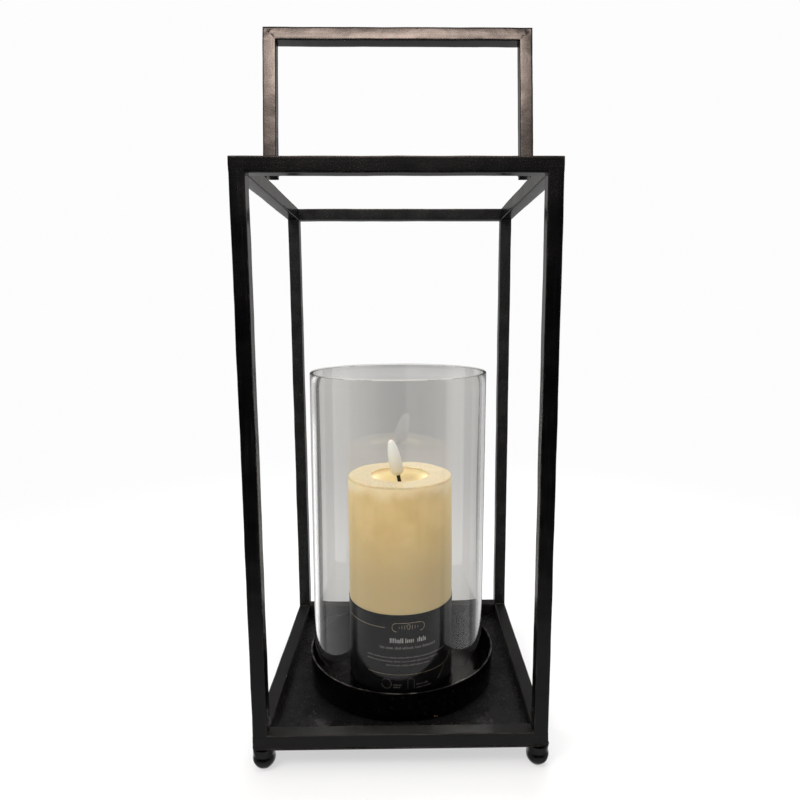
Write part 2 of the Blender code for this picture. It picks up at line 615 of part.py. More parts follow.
def build_socket_and_wires():
    """The plug in the well's floor, with a round seat for the wick, and two wires up into it."""
    seat = WICK / 2 + REST_GAP
    radius = SOCKET / 2
    bore = SOCKET_BORE / 2
    edge = SOCKET_EDGE
    top = WICK_PIVOT.z
    low = top - SOCKET_HEIGHT
    seat_start = -math.degrees(math.acos(bore / seat))
    mouth = seat + SOCKET_FLARE
    outline = [(mouth, 0), (radius - edge, 0), (radius, -edge)]
    outline += [(radius, low - top), (bore, low - top)]
    outline += arc((0, 0), seat, seat_start, -17, 2)
    turned("wick_socket", outline, WICK_BLACK, WICK_PIVOT, SMALL_STEPS)

    start_z = HOUSING_TOP + REST_GAP + BOARD.z + 4 * REST_GAP
    radius = LEAD_WIRE / 2
    for name, side, material in (("red", -1, WIRE_RED), ("black", 1, WIRE_BLACK)):
        apart = (radius + 0.13 * MM) * side
        points = [(CANDLE_X + side * 5 * MM, 3 * MM, start_z),
                  (CANDLE_X + side * 5 * MM, 3 * MM, start_z + 6 * MM),
                  (CANDLE_X + side * 2.5 * MM, 1.5 * MM, start_z + 18 * MM),
                  (CANDLE_X + apart, 0, low - 12 * MM),
                  (CANDLE_X + apart, 0, low + 4 * MM)]
        wire(f"lead_wire_{name}", points, radius, material)


# ---------------------------------------------------------------- flame
def flame_outline(width, length, count):
    """(radius, height) points of a flame from its tip down: drawn in to a blunt tip, round below."""
    full = 0.15 * length
    points = []
    for i in range(count + 1):
        height = length * (1 + math.cos(math.pi * i / count)) / 2
        if height > full:
            radius = (1 - ((height - full) / (length - full)) ** 2.3) ** 0.43
        else:
            radius = math.sqrt(1 - (1 - height / full) ** 2)
        points.append((radius * width / 2, height))
    return points


def build_flame():
    """The wick with a round lower end on its pivot, and the hollow bulb with its LED."""
    pivot = joint_empty("wick_pivot", WICK_PIVOT, Matrix.Rotation(-FLAME_LEAN, 3, "Y"))
    radius = WICK / 2
    wick_top = FLAME_FROM_PIVOT + WICK_INTO_BULB
    outline = [(0, wick_top), (radius, wick_top)] + arc((0, 0), radius, 0, -90, 6)
    turned("wick", outline, WICK_BLACK, (0, 0, 0), SMALL_STEPS, False, None, pivot)

    mouth = radius + REST_GAP
    half_way = FLAME_LENGTH / 2
    outer = [p for p in flame_outline(FLAME_WIDTH, FLAME_LENGTH, 14) if p[0] > mouth or p[1] > half_way]
    hollow = flame_outline(FLAME_WIDTH - 2 * FLAME_WALL, FLAME_LENGTH - 3 * FLAME_WALL, 10)
    inner = [(radius, FLAME_WALL + height) for radius, height in hollow
             if radius > mouth or height > half_way]
    outline = outer + [(mouth, outer[-1][1] * 0.2), (mouth, FLAME_WALL * 1.2)] + inner[::-1]
    turned("flame_bulb", outline, MILKY, (0, 0, FLAME_FROM_PIVOT), SMALL_STEPS, False, None, pivot)

    led = LED / 2
    led_outline = arc((0, LED_SHOULDER), led, 90, 0, 4) + [(led, 0), (0, 0)]
    turned("flame_led", led_outline, LED_EPOXY, (0, 0, wick_top + REST_GAP), SMALL_STEPS, False, None, pivot)


def main():
    build_posts()
    build_rings()
    build_plate()
    build_feet()
    build_dish()
    for side_name, side in (("left", -1), ("right", 1)):
        build_hinge_tabs(side_name, side)
    build_handle()
    build_glass()
    build_wax()
    build_label()
    build_housing()
    build_cover()
    build_contacts(build_cells())
    build_switch()
    build_board()
    build_socket_and_wires()
    build_flame()


main()
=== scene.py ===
"""Looks of the hurricane candle lantern: fine meshes, materials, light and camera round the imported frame.

Metres, +Z up, front towards -Y."""

import json
import math
import random

import bmesh
import bpy
from mathutils import Matrix, Vector, noise


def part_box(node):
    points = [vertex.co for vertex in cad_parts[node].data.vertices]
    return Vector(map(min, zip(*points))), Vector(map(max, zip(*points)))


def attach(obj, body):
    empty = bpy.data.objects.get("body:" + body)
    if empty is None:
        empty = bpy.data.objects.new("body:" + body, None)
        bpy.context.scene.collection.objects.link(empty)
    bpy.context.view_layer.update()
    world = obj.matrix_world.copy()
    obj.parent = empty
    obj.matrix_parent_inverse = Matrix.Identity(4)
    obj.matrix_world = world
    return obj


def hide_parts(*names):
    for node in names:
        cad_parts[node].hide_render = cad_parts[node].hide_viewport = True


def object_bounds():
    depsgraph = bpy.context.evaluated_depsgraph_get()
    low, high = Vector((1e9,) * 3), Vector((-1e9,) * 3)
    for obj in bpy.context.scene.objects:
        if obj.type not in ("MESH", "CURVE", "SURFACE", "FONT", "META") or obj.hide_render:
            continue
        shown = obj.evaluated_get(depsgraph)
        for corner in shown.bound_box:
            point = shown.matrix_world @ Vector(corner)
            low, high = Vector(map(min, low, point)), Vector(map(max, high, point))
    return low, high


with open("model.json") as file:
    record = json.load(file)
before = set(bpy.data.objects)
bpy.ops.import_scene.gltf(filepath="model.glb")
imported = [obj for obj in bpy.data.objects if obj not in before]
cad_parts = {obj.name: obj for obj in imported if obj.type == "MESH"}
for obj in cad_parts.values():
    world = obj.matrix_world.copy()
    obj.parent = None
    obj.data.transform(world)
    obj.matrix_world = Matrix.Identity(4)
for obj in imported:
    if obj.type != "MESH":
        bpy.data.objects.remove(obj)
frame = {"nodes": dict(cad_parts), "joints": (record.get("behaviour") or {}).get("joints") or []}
CAD_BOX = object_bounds()
noise.seed_set(1)              # noise vectors, and so the bars' waves, come out the same in every run

MM = 0.001
DEGREE = math.radians(1)
X_AXIS, Y_AXIS, Z_AXIS = 0, 1, 2

# -------- places and sizes, from the frame
RING_LOW, RING_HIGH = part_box("rail_top_front")
FRAME_TOP = RING_HIGH.z
BAR = RING_HIGH.z - RING_LOW.z
RING_INSIDE = RING_HIGH.x - BAR
BASE_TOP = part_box("rail_bottom_front")[1].z
PIVOT = Vector(next(j for j in frame["joints"] if j["name"] == "handle_swing")["pos_m"])
WICK_PIVOT = Vector(next(j for j in frame["joints"] if j["name"] == "wick_bend")["pos_m"])

DISH_SHEET = 1.2 * MM
GLASS_WALL = 2.0 * MM
GLASS_LEAN = 1.4 * MM          # how far left of its rim the foot stands
WELL_RADIUS = 20.7 * MM
WELL_DEPTH = 8.0 * MM
SOCKET_RADIUS = 4.55 * MM
LABEL_PAPER = 0.35 * MM
BULGE = 0.09 * MM              # how far the middle of a bar's face stands out
HANDLE_BULGE = 0.16 * MM
AROUND = 240                   # facets round glass, wax and label
CORNERS = {"front_left": (-1, -1), "front_right": (1, -1), "back_left": (-1, 1), "back_right": (1, 1)}


def middle_of(node):
    low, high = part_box(node)
    return (low + high) / 2


def foot_of(node):
    """The middle of a node's underside."""
    low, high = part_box(node)
    return Vector(((low.x + high.x) / 2, (low.y + high.y) / 2, low.z))


def round_size(node):
    """The radius and the height of a node that is round about Z."""
    low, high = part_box(node)
    return (high.x - low.x) / 2, high.z - low.z


LABEL_RADIUS, LABEL_HEIGHT = round_size("paper_label")
LABEL_FOOT = foot_of("paper_label")


# -------- node helpers
def connect(tree, socket, value):
    """Feeds a socket from an output, or sets it to a number or a colour."""
    if isinstance(value, bpy.types.NodeSocket):
        tree.links.new(value, socket)
    elif isinstance(value, tuple) and socket.type == "RGBA":
        socket.default_value = (*value, 1)
    else:
        socket.default_value = value


def add(tree, kind, inputs=None, **settings):
    """A new shader node. inputs maps an input's name or number to a value or to the output that feeds it,
    settings are the node's own attributes."""
    node = tree.nodes.new("ShaderNode" + kind)
    for key, value in settings.items():
        setattr(node, key, value)
    for key, value in (inputs or {}).items():
        connect(tree, node.inputs[key], value)
    return node


def calc(tree, operation, first, second=0.0):
    return add(tree, "Math", {0: first, 1: second}, operation=operation).outputs[0]


def product(tree, first, *others):
    for other in others:
        first = calc(tree, "MULTIPLY", first, other)
    return first


def ramp(tree, value, start, end, low=0.0, high=1.0):
    """low where value is start or less, high where it is end or more, smooth between."""
    inputs = {"Value": value, "From Min": start, "From Max": end, "To Min": low, "To Max": high}
    return add(tree, "MapRange", inputs, interpolation_type="SMOOTHSTEP").outputs["Result"]


def spread(tree, soft_noise, low=0.0, high=1.0):
    """Noise, most of which lies between 0.3 and 0.7, spread from low to high."""
    return ramp(tree, soft_noise, 0.3, 0.7, low, high)


def blend_colours(tree, share, first, second):
    mixer = add(tree, "Mix", data_type="RGBA")
    ends = [socket for socket in mixer.inputs if socket.type == "RGBA"]
    for socket, value in zip((mixer.inputs[0], *ends), (share, first, second)):
        connect(tree, socket, value)
    return next(socket for socket in mixer.outputs if socket.type == "RGBA")


def layered(tree, colour, *layers):
    """A colour under layers of (share, tint), the lowest first."""
    for share, tint in layers:
        colour = blend_colours(tree, share, colour, tint)
    return colour


def blend_values(tree, share, first, second):
    return add(tree, "Mix", {0: share, 2: first, 3: second}, data_type="FLOAT").outputs[0]


def blend_shaders(tree, share, first, second):
    return add(tree, "MixShader", {0: share, 1: first, 2: second}).outputs[0]


def stretched(tree, scale):
    """The piece's own coordinates, multiplied axis by axis: features per metre."""
    place = add(tree, "TexCoord").outputs["Object"]
    return add(tree, "Mapping", {"Vector": place, "Scale": scale}).outputs["Vector"]


def cloud(tree, scale, detail=3.0, roughness=0.55):
    """Soft noise between 0 and 1. scale is features per metre, one number or three."""
    if not isinstance(scale, tuple):
        scale = (scale, scale, scale)
    inputs = {"Vector": stretched(tree, scale), "Scale": 1.0, "Detail": detail, "Roughness": roughness}
    return add(tree, "TexNoise", inputs).outputs["Fac"]


def specks(tree, spacing, size, share):
    """1 in small dots about size across, one in each cell of the given spacing, for a share of cells."""
    inputs = {"Vector": stretched(tree, (1 / spacing,) * 3), "Scale": 1.0}
    cells = add(tree, "TexVoronoi", inputs, feature="F1")
    dots = ramp(tree, cells.outputs["Distance"], size / spacing * 0.3, size / spacing * 0.5, 1.0, 0.0)
    chosen = add(tree, "SeparateColor", {"Color": cells.outputs["Color"]}).outputs["Red"]
    return product(tree, dots, calc(tree, "LESS_THAN", chosen, share))


def place_of(tree):
    """The shaded point, as outputs X, Y and Z, in metres."""
    return add(tree, "SeparateXYZ", {"Vector": stretched(tree, (1.0, 1.0, 1.0))}).outputs


def bump(tree, layers):
    """A normal from (height output, distance in metres) layers, the coarsest first."""
    normal = None
    for height, distance in layers:
        inputs = {"Height": height, "Distance": distance, "Strength": 1.0}
        if normal is not None:
            inputs["Normal"] = normal
        normal = add(tree, "Bump", inputs).outputs["Normal"]
    return normal


def new_material(name):
    material = bpy.data.materials.new(name)
    material.use_nodes = True
    return material, material.node_tree


def finish(material, **values):
    """Sets or links its Principled shader's inputs, Base_Color=..., Roughness=... and so on; returns it."""
    shader = material.node_tree.nodes["Principled BSDF"]
    for key, value in values.items():
        connect(material.node_tree, shader.inputs[key.replace("_", " ")], value)
    return material


# -------- materials
def black_paint(name, along=None, dusty=0.0, sandy=0.35, rough_from=0.16):
    """Satin black paint, brushed along one axis, mottled, with worn edges and a few specks. The third
    argument makes all of it paler: a thin film of dust on it, and on the rear bars painted light where the
    overhead light falls on them. sandy is how strong its grain is against its brush marks and rough_from
    the least roughness."""
    material, tree = new_material(name)
    if along is None:
        stretch = [300.0] * 3
    else:
        stretch = [900.0] * 3
        stretch[along] = 22.0
    streaks = cloud(tree, tuple(stretch), 4.0, 0.65)
    mottle = cloud(tree, 70.0, 4.0)
    sand = cloud(tree, 950.0, 3.0, 0.75)
    dark = tuple(c + dusty for c in (0.0004, 0.0004, 0.0005))
    light = tuple(c + dusty * 1.5 for c in (0.0012, 0.0011, 0.0011))
    edge = add(tree, "Attribute", attribute_name="edge").outputs["Fac"]
    patchy = ramp(tree, cloud(tree, 160.0, 4.0), 0.46, 0.72)
    dust = specks(tree, 11 * MM, 0.6 * MM, 0.35)
    colour = layered(tree, dark, (spread(tree, mottle), light),
                     (ramp(tree, streaks, 0.57, 0.74, 0.0, 0.7), (0.012, 0.0112, 0.0105)),
                     (product(tree, ramp(tree, edge, 0.6, 1.0), patchy, 0.4), (0.032, 0.026, 0.021)),
                     (product(tree, dust, 0.7), (0.085, 0.075, 0.065)))
    rough = ramp(tree, streaks, 0.2, 0.8, rough_from, rough_from + 0.08)
    rough = calc(tree, "ADD", rough, spread(tree, mottle, -0.02, 0.04))
    rough = calc(tree, "ADD", rough, product(tree, dust, 0.3))
    normal = bump(tree, [(cloud(tree, 110.0, 2.0), 0.08 * MM), (streaks, (1 - sandy) * 0.016 * MM),
                         (sand, sandy * 0.014 * MM)])
    return finish(material, Base_Color=colour, Roughness=rough, Normal=normal, Specular_IOR_Level=0.5)


def dish_paint():
    """Duller black paint, rubbed thin along the rim, with one chip low on the wall."""
    material = black_paint("paint_dish")
    tree = material.node_tree
    place = stretched(tree, (1.0, 1.0, 1.0))
    height = place_of(tree)["Z"]
    low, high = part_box("candle_dish")
    worn = ramp(tree, height, high.z - 0.7 * MM, high.z - 0.2 * MM)
    patchy = ramp(tree, cloud(tree, 120.0, 5.0), 0.42, 0.64, 0.12, 1.0)
    share = product(tree, worn, patchy)
    before = tree.nodes["Principled BSDF"].inputs["Base Color"].links[0].from_socket
    chip_at = (22.5 * MM, -62.9 * MM, low.z + 0.8 * MM)
    away = add(tree, "VectorMath", {0: place, 1: chip_at}, operation="DISTANCE").outputs["Value"]
    ragged = calc(tree, "ADD", away, spread(tree, cloud(tree, 900.0, 2.0), -0.9 * MM, 0.9 * MM))
    chip = ramp(tree, ragged, 0.9 * MM, 1.3 * MM, 1.0, 0.0)
    colour = layered(tree, before, (share, (0.030, 0.026, 0.023)), (chip, (0.26, 0.135, 0.07)))
    return finish(material, Base_Color=colour, Specular_IOR_Level=ramp(tree, share, 0.0, 1.0, 0.05, 0.5))


def clear_glass():
    """Blown glass with faint upright ripples and a ground, slightly cloudy rim that carries a painted
    highlight at its front. Light passes through it to what it shades."""
    material, tree = new_material("glass_clear")
    ripples = cloud(tree, (55.0, 55.0, 3.0), 2.0, 0.5)
    smudges = cloud(tree, 60.0, 4.0)
    normal = bump(tree, [(ripples, 0.03 * MM), (cloud(tree, 400.0, 2.0), 0.0010 * MM)])
    grime = ramp(tree, smudges, 0.55, 0.75, 0.0, 0.03)
    dust = specks(tree, 16 * MM, 0.7 * MM, 0.3)
    tint = blend_colours(tree, product(tree, dust, 0.5), (0.988, 0.979, 0.962), (0.55, 0.54, 0.52))
    finish(material, Base_Color=tint, Roughness=grime, IOR=1.52, Transmission_Weight=1.0, Normal=normal)
    rays = add(tree, "LightPath").outputs
    passes = calc(tree, "MAXIMUM", rays["Is Shadow Ray"], rays["Is Diffuse Ray"])
    open_way = add(tree, "BsdfTransparent", {"Color": (0.95, 0.955, 0.95)})
    where = place_of(tree)
    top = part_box("glass_cylinder")[1].z
    ground = ramp(tree, where["Z"], top - 1.5 * MM, top - 0.9 * MM, 0.0, 0.8)
    clear = add(tree, "BsdfTransparent", {"Color": (0.96, 0.955, 0.94)})
    # Painted highlight: the ground rim also glows faintly, warm and strongest at its front, standing in for
    # the lamp's reflection.
    in_front = ramp(tree, where["Y"], -45 * MM, 0.0, 0.13, 0.0)
    painted_rim_highlight = add(tree, "Emission", {"Color": (1.0, 0.97, 0.93), "Strength": in_front})
    cloudy = add(tree, "AddShader", {0: clear.outputs[0], 1: painted_rim_highlight.outputs[0]})
    rimmed = blend_shaders(tree, ground, tree.nodes["Principled BSDF"].outputs[0], cloudy.outputs[0])
    both = blend_shaders(tree, passes, rimmed, open_way.outputs[0])
    tree.links.new(both, tree.nodes["Material Output"].inputs["Surface"])
    return material


def ivory_wax():
    """Real wax: light scatters in it; paler and speckled on top. Painted light: a paler band under the rim,
    a painted glow round the well with painted shade on its floor, and painted shade lower down.
    """
    material, tree = new_material("wax_ivory")
    low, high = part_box("wax_shell")
    middle = (low + high) / 2
    where = place_of(tree)
    bloom = cloud(tree, 38.0, 4.0)
    grain = cloud(tree, 900.0, 2.0)
    runs = cloud(tree, (140.0, 140.0, 14.0), 3.0)
    # Painted shade: the side is darker lower down, as if less light from above reached it.
    lower = ramp(tree, where["Z"], high.z - 75 * MM, high.z - 22 * MM, 1.0, 0.0)
    # Painted light: a paler band just under the rim stands for light shining through the thin wax there.
    ragged = calc(tree, "ADD", where["Z"], spread(tree, bloom, -3 * MM, 3 * MM))
    band = ramp(tree, ragged, high.z - 11 * MM, high.z - 2.5 * MM)
    on_top = ramp(tree, where["Z"], high.z - 2.2 * MM, high.z - 0.9 * MM)
    flecks = ramp(tree, cloud(tree, 700.0, 4.0, 0.7), 0.42, 0.62)
    top = blend_colours(tree, flecks, (0.51, 0.42, 0.255), (0.64, 0.54, 0.35))
    from_x = calc(tree, "SUBTRACT", where["X"], middle.x)
    squares = calc(tree, "ADD", calc(tree, "POWER", from_x, 2.0), calc(tree, "POWER", where["Y"], 2.0))
    inside = ramp(tree, calc(tree, "SQRT", squares), WELL_RADIUS - 2 * MM, WELL_RADIUS + 0.4 * MM, 1.0, 0.0)
    well = product(tree, inside, ramp(tree, where["Z"], high.z - 14 * MM, high.z - 12 * MM))
    # Painted shade and light: the well is darker at its floor and paler up its wall.
    up_the_well = ramp(tree, where["Z"], high.z - WELL_DEPTH, high.z - 3 * MM)
    scooped = blend_colours(tree, up_the_well, (0.66, 0.50, 0.235), (0.87, 0.745, 0.43))
    # Painted glow: the well gives off light, though nothing in it is lit, most at its front.
    glow = product(tree, well, up_the_well, 0.52, ramp(tree, where["Y"], 0.0, 14 * MM, 1.0, 0.08))
    pits = specks(tree, 9 * MM, 0.6 * MM, 0.5)
    colour = layered(tree, (0.70, 0.51, 0.235), (spread(tree, bloom), (0.79, 0.605, 0.30)),
                     (ramp(tree, runs, 0.45, 0.8, 0.0, 0.35), (0.64, 0.46, 0.20)),
                     (lower, (0.57, 0.44, 0.235)), (product(tree, band, 0.8), (0.86, 0.755, 0.51)),
                     (on_top, top), (well, scooped), (product(tree, pits, 0.35), (0.36, 0.26, 0.13)))
    rough = spread(tree, bloom, 0.40, 0.52)
    normal = bump(tree, [(bloom, 0.30 * MM), (runs, 0.12 * MM), (grain, 0.015 * MM)])
    return finish(material, Base_Color=colour, Roughness=rough, Normal=normal, Subsurface_Weight=0.8,
                  Subsurface_Scale=0.005, Subsurface_Radius=(1.0, 0.6, 0.3),
                  Emission_Color=(1.0, 0.93, 0.66), Emission_Strength=glow)


def coated_paper(name, dark, light, roughness):
    """Paper with a dull coating and faint fibres."""
    material, tree = new_material(name)
    fibres = cloud(tree, 1500.0, 4.0, 0.7)
    shade = cloud(tree, 50.0, 3.0)
    colour = blend_colours(tree, spread(tree, shade), dark, light)
    rough = spread(tree, fibres, roughness - 0.05, roughness + 0.07)
    return finish(material, Base_Color=colour, Roughness=rough, Normal=bump(tree, [(fibres, 0.003 * MM)]),
                  Specular_IOR_Level=0.2)


def print_ink(name, dark, light, metallic):
    """Foil or ink, a little uneven."""
    material, tree = new_material(name)
    blotches = cloud(tree, 600.0, 3.0)
    colour = blend_colours(tree, ramp(tree, blotches, 0.35, 0.65), dark, light)
    rough = spread(tree, blotches, 0.35, 0.5)
    return finish(material, Base_Color=colour, Metallic=metallic, Roughness=rough)


def moulded_plastic(name, dark, light, roughness=0.42):
    """Moulded plastic with a fine grain and faint flow marks."""
    material, tree = new_material(name)
    grain = cloud(tree, 2400.0, 2.0)
    flow = cloud(tree, (60.0, 60.0, 20.0), 3.0)
    colour = blend_colours(tree, spread(tree, flow), dark, light)
    rough = spread(tree, grain, roughness - 0.06, roughness + 0.06)
    return finish(material, Base_Color=colour, Roughness=rough, Normal=bump(tree, [(grain, 0.012 * MM)]))


def milky_bulb():
    """A frosted diffuser, warmer towards its lower end."""
    material, tree = new_material("bulb_milky")
    low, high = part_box("flame_bulb")
    height = place_of(tree)["Z"]
    share = ramp(tree, height, low.z, low.z + 0.75 * (high.z - low.z))
    frost = cloud(tree, 2600.0, 2.0)
    colour = layered(tree, (0.66, 0.60, 0.51), (share, (0.84, 0.83, 0.81)),
                     (ramp(tree, frost, 0.4, 0.8, 0.0, 0.12), (0.55, 0.50, 0.42)))
    return finish(material, Base_Color=colour, Roughness=spread(tree, frost, 0.33, 0.43),
                  Subsurface_Weight=0.25, Subsurface_Scale=0.0015, Normal=bump(tree, [(frost, 0.008 * MM)]))


def braided_wick():
    """Black braided cotton."""
    material, tree = new_material("wick_cotton")
    inputs = {"Vector": stretched(tree, (700.0, 700.0, 900.0)), "Scale": 1.0, "Distortion": 2.0}
    braid = add(tree, "TexWave", inputs, bands_direction="DIAGONAL").outputs["Fac"]
    colour = blend_colours(tree, braid, (0.003, 0.003, 0.003), (0.012, 0.011, 0.010))
    return finish(material, Base_Color=colour, Roughness=0.75, Normal=bump(tree, [(braid, 0.08 * MM)]))


def bare_metal(name, dark, light):
    """Plated spring steel with drawing marks."""
    material, tree = new_material(name)
    marks = cloud(tree, (1800.0, 1800.0, 200.0), 3.0)
    colour = blend_colours(tree, marks, dark, light)
    rough = spread(tree, marks, 0.22, 0.38)
    return finish(material, Base_Color=colour, Metallic=1.0, Roughness=rough,
                  Normal=bump(tree, [(marks, 0.01 * MM)]))


def cell_jacket():
    """A printed film jacket: dark body, a coloured band at one end and bare metal at the ends."""
    material, tree = new_material("jacket_film")
    low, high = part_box("battery_left")
    height = place_of(tree)["Z"]
    band = ramp(tree, height, high.z - 16 * MM, high.z - 15.6 * MM)
    ends = calc(tree, "MAXIMUM", ramp(tree, height, high.z - 1.6 * MM, high.z - 1.5 * MM),
                ramp(tree, height, low.z + 0.5 * MM, low.z + 0.6 * MM, 1.0, 0.0))
    wrinkle = cloud(tree, (300.0, 300.0, 90.0), 3.0)
    colour = layered(tree, (0.015, 0.03, 0.05), (wrinkle, (0.03, 0.06, 0.09)), (band, (0.45, 0.20, 0.05)),
                     (ends, (0.55, 0.55, 0.53)))
    rough = spread(tree, wrinkle, 0.18, 0.3)
    return finish(material, Base_Color=colour, Metallic=ends, Roughness=rough,
                  Normal=bump(tree, [(wrinkle, 0.03 * MM)]))


def circuit_lacquer():
    """Green solder resist with lighter tracks under it."""
    material, tree = new_material("board_lacquer")
    inputs = {"Vector": stretched(tree, (420.0, 420.0, 420.0)), "Scale": 1.0}
    tracks = add(tree, "TexVoronoi", inputs, distance="MANHATTAN", feature="F1").outputs["Distance"]
    lines = ramp(tree, tracks, 0.42, 0.46)
    colour = blend_colours(tree, lines, (0.008, 0.07, 0.028), (0.03, 0.19, 0.075))
    return finish(material, Base_Color=colour, Roughness=0.28, Normal=bump(tree, [(lines, 0.02 * MM)]))


def led_epoxy():
    """A clear yellowish lens with faint swirls."""
    material, tree = new_material("led_lens")
    swirl = cloud(tree, 900.0, 2.0)
    colour = blend_colours(tree, swirl, (0.80, 0.72, 0.42), (0.92, 0.88, 0.66))
    rough = spread(tree, swirl, 0.08, 0.16)
    return finish(material, Base_Color=colour, Roughness=rough, Transmission_Weight=0.4)


def paint_set(name, **settings):
    """Black paint for bars that run along X, Y and Z."""
    return [black_paint(f"{name}_{axis_name}", axis, **settings) for axis, axis_name in enumerate("xyz")]


PAINT = paint_set("paint")
# Painted light: the back posts and the back top rail get paler paint that stands for the overhead light
# falling on their front faces.
PAINT_REAR_LIT = paint_set("paint_rear_lit", dusty=0.010)
PAINT_HANDLE = paint_set("paint_handle", sandy=0.9, rough_from=0.12)
PAINT_LOW = paint_set("paint_low", dusty=0.002, sandy=0.5, rough_from=0.46)
PAINT_PLAIN = black_paint("paint_plain")
PAINT_PLATE = black_paint("paint_plate", dusty=0.004, rough_from=0.22)
PAINT_DISH = dish_paint()
GLASS = clear_glass()
WAX = ivory_wax()
LABEL = coated_paper("label_charcoal", (0.0040, 0.0040, 0.0048), (0.0064, 0.0064, 0.0072), 0.42)
FOIL = print_ink("print_foil", (0.26, 0.21, 0.15), (0.42, 0.35, 0.26), 0.4)
INK = print_ink("print_light", (0.30, 0.29, 0.28), (0.42, 0.41, 0.40), 0.0)
INK_DIM = print_ink("print_dim", (0.12, 0.115, 0.11), (0.18, 0.17, 0.16), 0.0)
MILKY = milky_bulb()
WICK = braided_wick()
HIDDEN = {
    "battery_housing": moulded_plastic("plastic_white", (0.66, 0.65, 0.61), (0.74, 0.73, 0.69)),
    "battery_cover": moulded_plastic("plastic_cover", (0.62, 0.61, 0.57), (0.72, 0.71, 0.67), 0.36),
    "switch_slider": moulded_plastic("plastic_black", (0.012, 0.012, 0.012), (0.022, 0.022, 0.022), 0.38),
    "wick_socket": moulded_plastic("plastic_socket", (0.010, 0.010, 0.010), (0.018, 0.018, 0.018), 0.5),
    "lead_wire_red": moulded_plastic("rubber_red", (0.36, 0.02, 0.015), (0.48, 0.04, 0.03), 0.5),
    "lead_wire_black": moulded_plastic("rubber_black", (0.012, 0.012, 0.012), (0.025, 0.025, 0.025), 0.5),
    "battery_left": cell_jacket(),
    "spring_contact": bare_metal("metal_nickel", (0.50, 0.50, 0.48), (0.68, 0.68, 0.66)),
    "circuit_board": circuit_lacquer(),
    "flame_led": led_epoxy(),
}
HIDDEN["battery_right"] = HIDDEN["battery_left"]
for metal_node in ("button_contact", "bridge_contact", "board_screw_left", "board_screw_right"):
    HIDDEN[metal_node] = HIDDEN["spring_contact"]


# -------- mesh helpers
def new_object(name, data):
    made = bpy.data.objects.new(name, data)
    bpy.context.scene.collection.objects.link(made)
    return made


def mesh_of(name, shape):
    """A mesh from a bmesh, which it frees."""
    mesh = bpy.data.meshes.new(name)
    shape.to_mesh(mesh)
    shape.free()
    return mesh


def show(name, shape, body, material, replaced=(), sharp=35):
    """Makes the piece NAME from a bmesh, inside the CAD model's box, and lets it ride on its body."""
    bmesh.ops.recalc_face_normals(shape, faces=shape.faces)
    low, high = CAD_BOX
    for vert in shape.verts:
        for axis in range(3):
            vert.co[axis] = min(max(vert.co[axis], low[axis]), high[axis])
    mesh = mesh_of(name, shape)
    mesh.shade_smooth()
    mesh.set_sharp_from_angle(angle=sharp * DEGREE)
    mesh.materials.append(material)
    piece = new_object(name, mesh)
    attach(piece, body)
    if replaced:
        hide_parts(*replaced)


def cad_shape(node):
    """A welded copy of a CAD node's mesh, its flat faces in one piece each."""
    shape = bmesh.new()
    shape.from_mesh(frame["nodes"][node].data)
    bmesh.ops.remove_doubles(shape, verts=shape.verts, dist=0.002 * MM)
    bmesh.ops.dissolve_limit(shape, angle_limit=0.5 * DEGREE, verts=shape.verts, edges=shape.edges)
    return shape


def slice_shape(shape, axis, places):
    """Cuts a shape through at each place along an axis, so that it can bend there."""
    direction = Vector((0, 0, 0))
    direction[axis] = 1
    for place in places:
        everything = list(shape.verts) + list(shape.edges) + list(shape.faces)
        bmesh.ops.bisect_plane(shape, geom=everything, dist=0.0005 * MM, plane_co=direction * place,
                               plane_no=direction)


def steps_between(low, high, step):
    count = max(1, round((high - low) / step))
    return [low + (high - low) * i / count for i in range(1, count)]


def uneven(point, size, amount):
    """A smooth offset that differs from place to place; neighbours at the same place move together."""
    return noise.noise_vector(Vector(point) / size) * amount


def lathe(outline, centre, steps, offset=None, closed=True):
    """A shape turned about Z from (radius, height) points. offset(radius, height, angle) moves a point by
    (outward, upward). An outline that isn't closed starts and ends on the axis."""
    shape = bmesh.new()
    rings = []
    for radius, height in outline:
        if radius == 0:
            rings.append([shape.verts.new(centre + Vector((0, 0, height)))])
            continue
        ring = []
        for i in range(steps):
            angle = 2 * math.pi * i / steps
            out, up = offset(radius, height, angle) if offset else (0, 0)
            spoke = Vector((math.cos(angle), math.sin(angle), 0))
            ring.append(shape.verts.new(centre + spoke * (radius + out) + Vector((0, 0, height + up))))
        rings.append(ring)
    pairs = list(zip(rings, rings[1:]))
    if closed:
        pairs.append((rings[-1], rings[0]))
    for upper, lower in pairs:
        if len(upper) == len(lower) == 1:
            continue
        for i in range(steps):
            j = (i + 1) % steps
            corners = [ring[k % len(ring)] for ring, k in ((upper, i), (upper, j), (lower, j), (lower, i))]
            shape.faces.new(list(dict.fromkeys(corners)))
    return shape


def arc(centre, radius, start, end, count):
    """(radius, height) points along an arc, angles in degrees from the outward direction."""
    points = []
    for i in range(count + 1):
        angle = (start + (end - start) * i / count) * DEGREE
        points.append((centre[0] + radius * math.cos(angle), centre[1] + radius * math.sin(angle)))
    return points


def line(first, last, count):
    """Points from first up to, but without, last."""
    step = ((last[0] - first[0]) / count, (last[1] - first[1]) / count)
    return [(first[0] + step[0] * i, first[1] + step[1] * i) for i in range(count)]


def angle_noise(angle, height, turns, size, seed):
    """Noise that closes round a turned piece: turns sets how fast it changes round it, size along it."""
    place = (math.cos(angle) * turns + seed, math.sin(angle) * turns - seed, height / size)
    return noise.noise(Vector(place))


